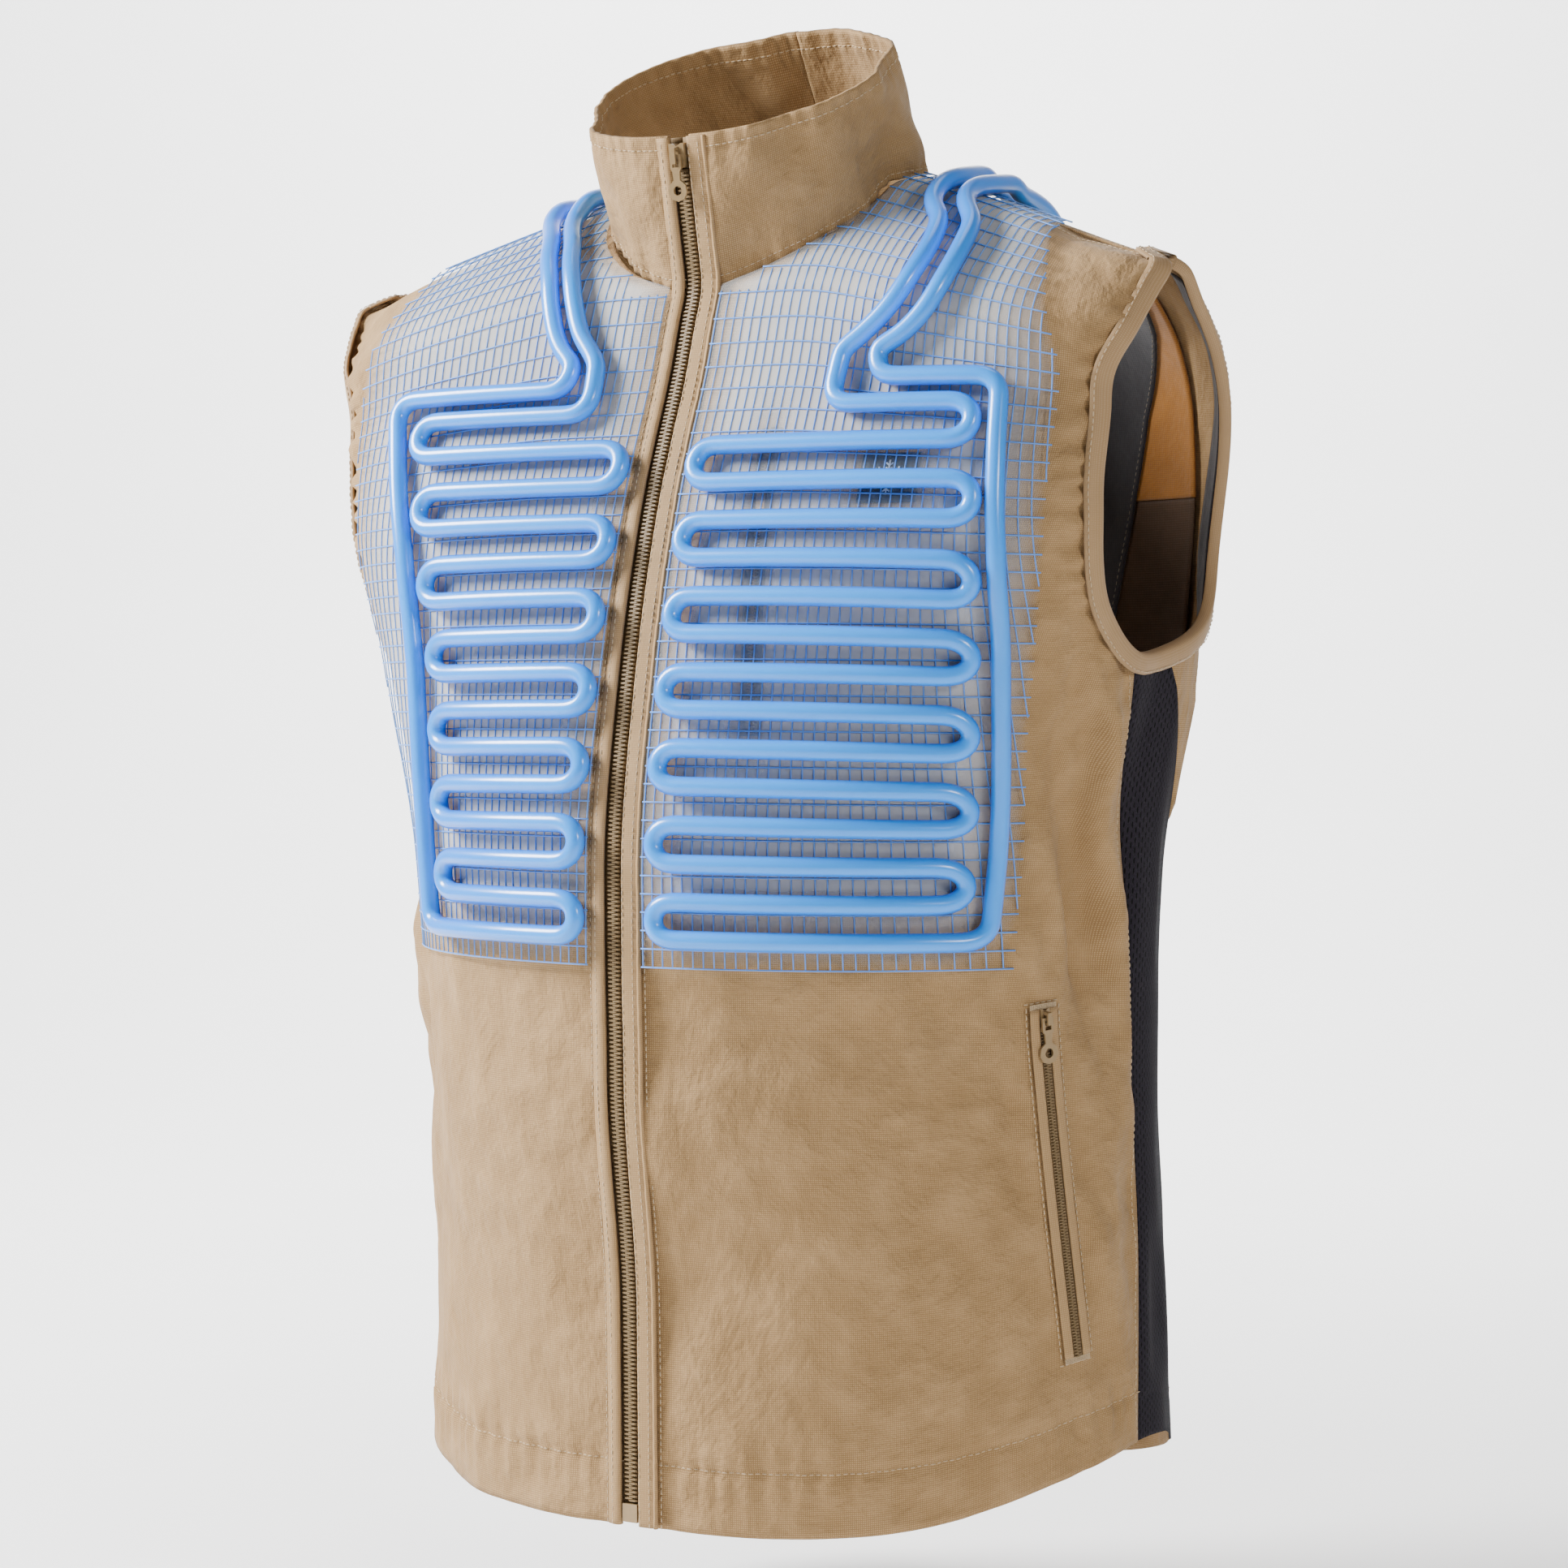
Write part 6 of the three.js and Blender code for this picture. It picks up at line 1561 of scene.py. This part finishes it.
class VEST_OT_hand_pocket(VestOperator, bpy.types.Operator):
    """Makes the hand pocket's welt lips, zip teeth and bartacks"""

    bl_idname, bl_label = "vest.hand_pocket", "Hand pocket"

    def make(self, settings):
        share = np.linspace(0, 1, 60)
        spots = spot_behind(-(76 + (57 - 76) * share), -(415 + 170 * share))
        frames = line_frames(*spots)
        lip = [(3.0, 1.0), (3.0, 1.9), (3.5, 2.2), (4.6, 2.15), (6.2, 1.8), (7.4, 1.6), (8.0, 1.3),
               (8.0, 1.0)]
        # Across is to the wearer's front for these frames where it is positive
        fore = 1 if frames[3][0][1] < 0 else -1
        for word, sign in (("fore", fore), ("rear", -fore)):
            shape = [(sign * a, b) for a, b in lip][::-sign]
            piece = band_on("hand_pocket_welt_" + word, frames, shape, FINISH["trim"])
            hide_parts("hand_pocket_lip_" + word)
        later = tuple(part[4:] for part in frames)
        tape = band_on("hand_pocket_tape", later, [(2.9, 0.5), (2.9, 0.9), (-2.9, 0.9), (-2.9, 0.5)],
                       FINISH["tape"])
        teeth = coil_teeth("hand_pocket_teeth", later, settings.coil_pitch * 1000, 2.3, 0.9, 2.0,
                           FINISH["teeth"])
        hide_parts("hand_pocket_chain")
        place, along, out, side = frames

        def beside(a, lift):
            return np.concatenate([place + side * a + out * lift, out], 1)

        box = []
        for a in (-9.6, 9.6):
            box.append(beside(a, 0.25))
        for end, shift in ((0, -3.0), (-1, 3.0)):
            across = np.linspace(-9.6, 9.6, 9)[:, None]
            row = place[end] + along[end] * shift + side[end] * across + out[end] * 0.25
            box.append(np.concatenate([row, np.repeat(out[end][None], 9, 0)], 1))
        piece = stitches("hand_pocket_stitches", box, settings.stitch_pitch * 1000,
                         settings.stitch_length * 1000,
                         settings.stitch_width * 1000, FINISH["thread"])
        tacks = []
        for end, shift in ((0, -1.2), (-1, 1.4)):
            for k in range(5):
                across = np.linspace(-7.5, 7.5, 9)[:, None]
                row = place[end] + along[end] * (shift + (k - 2) * 0.55) + side[end] * across + out[end] * 1.3
                tacks.append(np.concatenate([row, np.repeat(out[end][None], 9, 0)], 1))
        piece = stitches("hand_pocket_bartacks", tacks, 1.1, 1.3, 0.55, FINISH["thread"])


class VEST_OT_chest_pocket(VestOperator, bpy.types.Operator):
    """Makes the chest pocket's zip under the left net panel"""

    bl_idname, bl_label = "vest.chest_pocket", "Chest pocket"

    def make(self, settings):
        share = np.linspace(0, 1, 50)
        frames = line_frames(*spot_across(61 + 9 * share, -(136 + 148 * share)))
        shape = [(5.5, 0.4), (5.5, 0.8), (4.9, 1.2), (2.6, 1.3), (2.2, 0.8), (-2.2, 0.8), (-2.6, 1.3),
                 (-4.9, 1.2),
                 (-5.5, 0.8), (-5.5, 0.4)]
        piece = band_on("chest_pocket_tape", frames, shape, FINISH["grey_tape"])
        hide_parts("chest_pocket_zip")
        teeth = coil_teeth("chest_pocket_teeth", frames, settings.coil_pitch * 1000, 1.9, 0.7, 1.6,
                           FINISH["teeth"])


class VEST_OT_control_patch(VestOperator, bpy.types.Operator):
    """Makes the dark control patch with its plain six-armed crystal"""

    bl_idname, bl_label = "vest.control_patch", "Control patch"

    def make(self, settings):
        across, level = np.meshgrid(np.linspace(-1, 1, 25), np.linspace(-1, 1, 21))
        corner = np.maximum(np.abs(across), np.abs(level)) ** 8
        angle, rise = spot_across(129 + 15 * across * (1 - 0.02 * corner),
                                  -162 + 12 * level * (1 - 0.02 * corner))
        edge = np.clip((1 - np.maximum(np.abs(across), np.abs(level))) * 9, 0, 1)
        patch = patch_of(angle, rise, 1.0, 0.35 * edge)
        piece = shell("control_patch_silicone", [patch], 0.7, FINISH["patch"])
        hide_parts("control_patch")
        lines, outs = [], []

        def arm(points):
            points = np.array(points)
            a, r = spot_across(129 + points[:, 0], -162 + points[:, 1])
            place, out = cloth(a, r, 1.45)
            lines.append(place)
            outs.append(out)

        for k in range(6):
            turn = math.radians(60 * k + 30)
            c, s = math.cos(turn), math.sin(turn)
            arm([(c * d, s * d) for d in np.linspace(0.8, 8.2, 6)])
            for stem, size in ((3.4, 2.0), (5.6, 2.2)):
                for bend in (-1, 1):
                    lean = turn + bend * math.radians(55)
                    arm([(c * stem + math.cos(lean) * d, s * stem + math.sin(lean) * d)
                         for d in np.linspace(0, size, 4)])
        piece = tubes("control_patch_crystal", lines, 0.42, 6, FINISH["print"], squash=0.35, outs=outs)


class VEST_OT_stitches(VestOperator, bpy.types.Operator):
    """Makes the stitching of hem, plackets, collar, shoulder seams, yoke and linings"""

    bl_idname, bl_label = "vest.stitches", "Stitching"

    def make(self, settings):
        pitch, length, width = (settings.stitch_pitch * 1000, settings.stitch_length * 1000,
                                settings.stitch_width * 1000)

        def sew(name, lines, finish="thread"):
            piece = stitches(name, lines, pitch, length, width, FINISH[finish])

        def on_patch(patch, pick):
            points, normals, _ = patch
            row = pick(points), pick(normals)
            return np.concatenate([row[0] + row[1] * 0.12, row[1]], 1)

        hem = []
        for side in (1, -1):
            for patch in (front_patch(settings, side), half_back(settings, side)):
                v = patch[2][:, 0, 1]
                k = int(np.argmin(np.abs(v - settings.hem_up * 1000)))
                hem.append(on_patch(patch, lambda a: a[k]))
            front = front_patch(settings, side)
            sew("shoulder_stitches_" + ("left" if side > 0 else "right"),
                [on_patch(front, lambda a: a[-3, 2:-2]),
                 on_patch(half_back(settings, side), lambda a: a[-3, 6:-2])])
            v = front[2][:, -1, 1]
            stop = int(np.searchsorted(v, float(np.interp(ARM_BOTTOM[1], RISE_ROW, RISE_LENGTH)))) - 2
            sew("side_stitches_" + ("left" if side > 0 else "right"),
                [on_patch(front, lambda a: a[2:stop, -2])])
            back = half_back(settings, side)
            yoke = int(np.argmin(np.abs(back[2][:, 0, 1] - np.interp(0.93, RISE_ROW, RISE_LENGTH) - 2.6)))
            sew("yoke_stitches_" + ("left" if side > 0 else "right"),
                [on_patch(back, lambda a: a[yoke, 4:])])
        sew("hem_stitches", hem)
        rim = []
        for side in (1, -1):
            patch = collar_patch(settings, side)
            rim.append(on_patch(patch, lambda a: a[30]))
            rim.append(on_patch(patch, lambda a: a[2]))
            inside = patch[0] - patch[1] * (COLLAR_THICK + 0.12), -patch[1]
            rim.append(np.concatenate([inside[0][30], inside[1][30]], 1))
        sew("collar_stitches", rim)
        sew("placket_stitches", [self.centre_line(5.9, 1.85), self.centre_line(11.6, 1.75),
                                 self.centre_line(17.6, 0.2),
                                 self.centre_line(-9.4, 2.45), self.centre_line(-13.6, 0.2)])
        level = -np.linspace(66, 326, 90)
        lining = []
        for side in (1, -1):
            angle, rise = spot_across(lap_edge(-level) - 3.0, level, False)
            place, out = cloth(angle, rise, -5.2)
            lining.append(np.concatenate([place, -out], 1) * np.array([side, 1, 1, side, 1, 1]))
        sew("lining_stitches", lining, "dark_thread")

    @staticmethod
    def centre_line(across, out):
        top = CENTRE_END - 1.5 if abs(across) < 13 else CENTRE_END - 80
        at = np.linspace(1.5, top, 300)
        place, normal, _ = centre_at(at, np.full(300, across), np.full(300, out))
        return np.concatenate([place, normal], 1)


class VEST_OT_stage(VestOperator, bpy.types.Operator):
    """Makes the pale floor, the soft lights and the camera"""

    bl_idname, bl_label = "vest.stage", "Stage"

    def make(self, settings):
        scene = bpy.context.scene
        floor_level = -0.76
        paint, tree, shader = material("white_studio_floor_painted",
                                       {"Roughness": 0.7, "Emission Strength": 0.25,
                                                                       "Emission Color": linear("#FFFFFF")})
        place = node(tree, "ShaderNodeTexCoord").outputs["Object"]
        grain = node(tree, "ShaderNodeTexNoise", {"Vector": place, "Scale": 4.0}).outputs["Fac"]
        tone = node(tree, "ShaderNodeMix", {"Factor": grain, 6: linear("#F4F4F4"), 7: linear("#FBFBFB")},
                    data_type="RGBA")
        link(tree, tone.outputs[2], shader, "Base Color")
        turns = np.linspace(0, np.pi / 2, 14)
        profile = [(-6.0, 0.0)] + [(2.2 + 1.6 * math.sin(t),
                                    1.6 - 1.6 * math.cos(t)) for t in turns] + [(3.8, 7.0)]
        lines = []
        a, e = math.radians(31.02), math.radians(1.61)
        away = np.array([-math.sin(a), math.cos(a)])
        beside = np.array([math.cos(a), math.sin(a)])
        for out, up in profile:
            lines.append([np.append(away * out + beside * w, floor_level + up) * 1000 for w in (-9, 9)])
        block = np.array(lines)
        n = len(profile)
        index = np.arange(2 * n).reshape(n, 2)
        quad = np.stack([index[:-1, 0], index[1:, 0], index[1:, 1], index[:-1, 1]], -1)[:, ::-1]
        floor = mesh_object("studio_floor", block.reshape(-1, 3), quad.tolist(), paint)

        camera = bpy.data.objects.new("photo_camera", bpy.data.cameras.new("photo_camera"))
        scene.collection.objects.link(camera)
        camera.data.sensor_width = 36
        camera.data.lens = 36 * 4632.45 / 1932
        camera.data.clip_end = 50
        camera.location = (1.0037, -1.6858, -0.2566)
        camera.rotation_euler = (math.pi / 2 - e, 0, a)
        scene.camera = camera

        def lamp(name, size, energy, place_, aim, colour=(1, 1, 1)):
            light = bpy.data.lights.new(name, "AREA")
            light.shape, light.size, light.energy, light.color = "DISK", size, energy, colour
            made = bpy.data.objects.new(name, light)
            scene.collection.objects.link(made)
            made.location = place_
            direction = np.array(aim) - np.array(place_)
            made.rotation_euler = (math.acos(-direction[2] / np.linalg.norm(direction)), 0,
                                   math.atan2(direction[1], direction[0]) - math.pi / 2)

        lamp("key_light", 0.85, 150, (-1.5, -0.95, 0.85), (0, 0, -0.3))
        lamp("backdrop_light", 2.0, 260, tuple(np.append(away * 1.6, 1.9)),
             tuple(np.append(away * 3.8, 0.4)))
        lamp("fill_light", 0.5, 24, (2.2, -1.0, 0.55), (0, 0, -0.35))
        lamp("top_light", 1.2, 10, (0.2, 0.6, 2.4), (0, 0, -0.3))
        world = bpy.data.worlds.new("studio")
        scene.world = world
        world.use_nodes = True
        world.node_tree.nodes["Background"].inputs["Color"].default_value = (1, 1, 1, 1)
        world.node_tree.nodes["Background"].inputs["Strength"].default_value = 0.15


OPERATORS = (VEST_OT_finishes, VEST_OT_fronts, VEST_OT_back, VEST_OT_sides, VEST_OT_collar,
             VEST_OT_bindings,
             VEST_OT_linings, VEST_OT_cooling_panels, VEST_OT_hoses, VEST_OT_front_zip, VEST_OT_plackets,
             VEST_OT_hand_pocket, VEST_OT_chest_pocket, VEST_OT_control_patch, VEST_OT_stitches,
             VEST_OT_stage)


class VEST_PT_panel(bpy.types.Panel):
    """Lists the vest's operators, colours and sizes"""

    bl_label = "Cooling vest"
    bl_idname = "VEST_PT_panel"
    bl_space_type = "VIEW_3D"
    bl_region_type = "UI"
    bl_category = "Vest"

    def draw(self, context):
        for made in OPERATORS:
            self.layout.operator(made.bl_idname)
        for group in (context.scene.vest_look, context.scene.vest_sizes):
            for name in group.bl_rna.properties.keys():
                if name not in ("rna_type", "name"):
                    self.layout.prop(group, name)


CLASSES = (VestLook, VestSizes) + OPERATORS + (VEST_PT_panel,)


def register():
    for made in CLASSES:
        bpy.utils.register_class(made)
    bpy.types.Scene.vest_look = PointerProperty(type=VestLook)
    bpy.types.Scene.vest_sizes = PointerProperty(type=VestSizes)


def unregister():
    del bpy.types.Scene.vest_sizes
    del bpy.types.Scene.vest_look
    for made in reversed(CLASSES):
        bpy.utils.unregister_class(made)


def main():
    register()
    for made in OPERATORS:
        getattr(bpy.ops.vest, made.bl_idname.split(".")[1])()


if __name__ == "__main__":
    main()
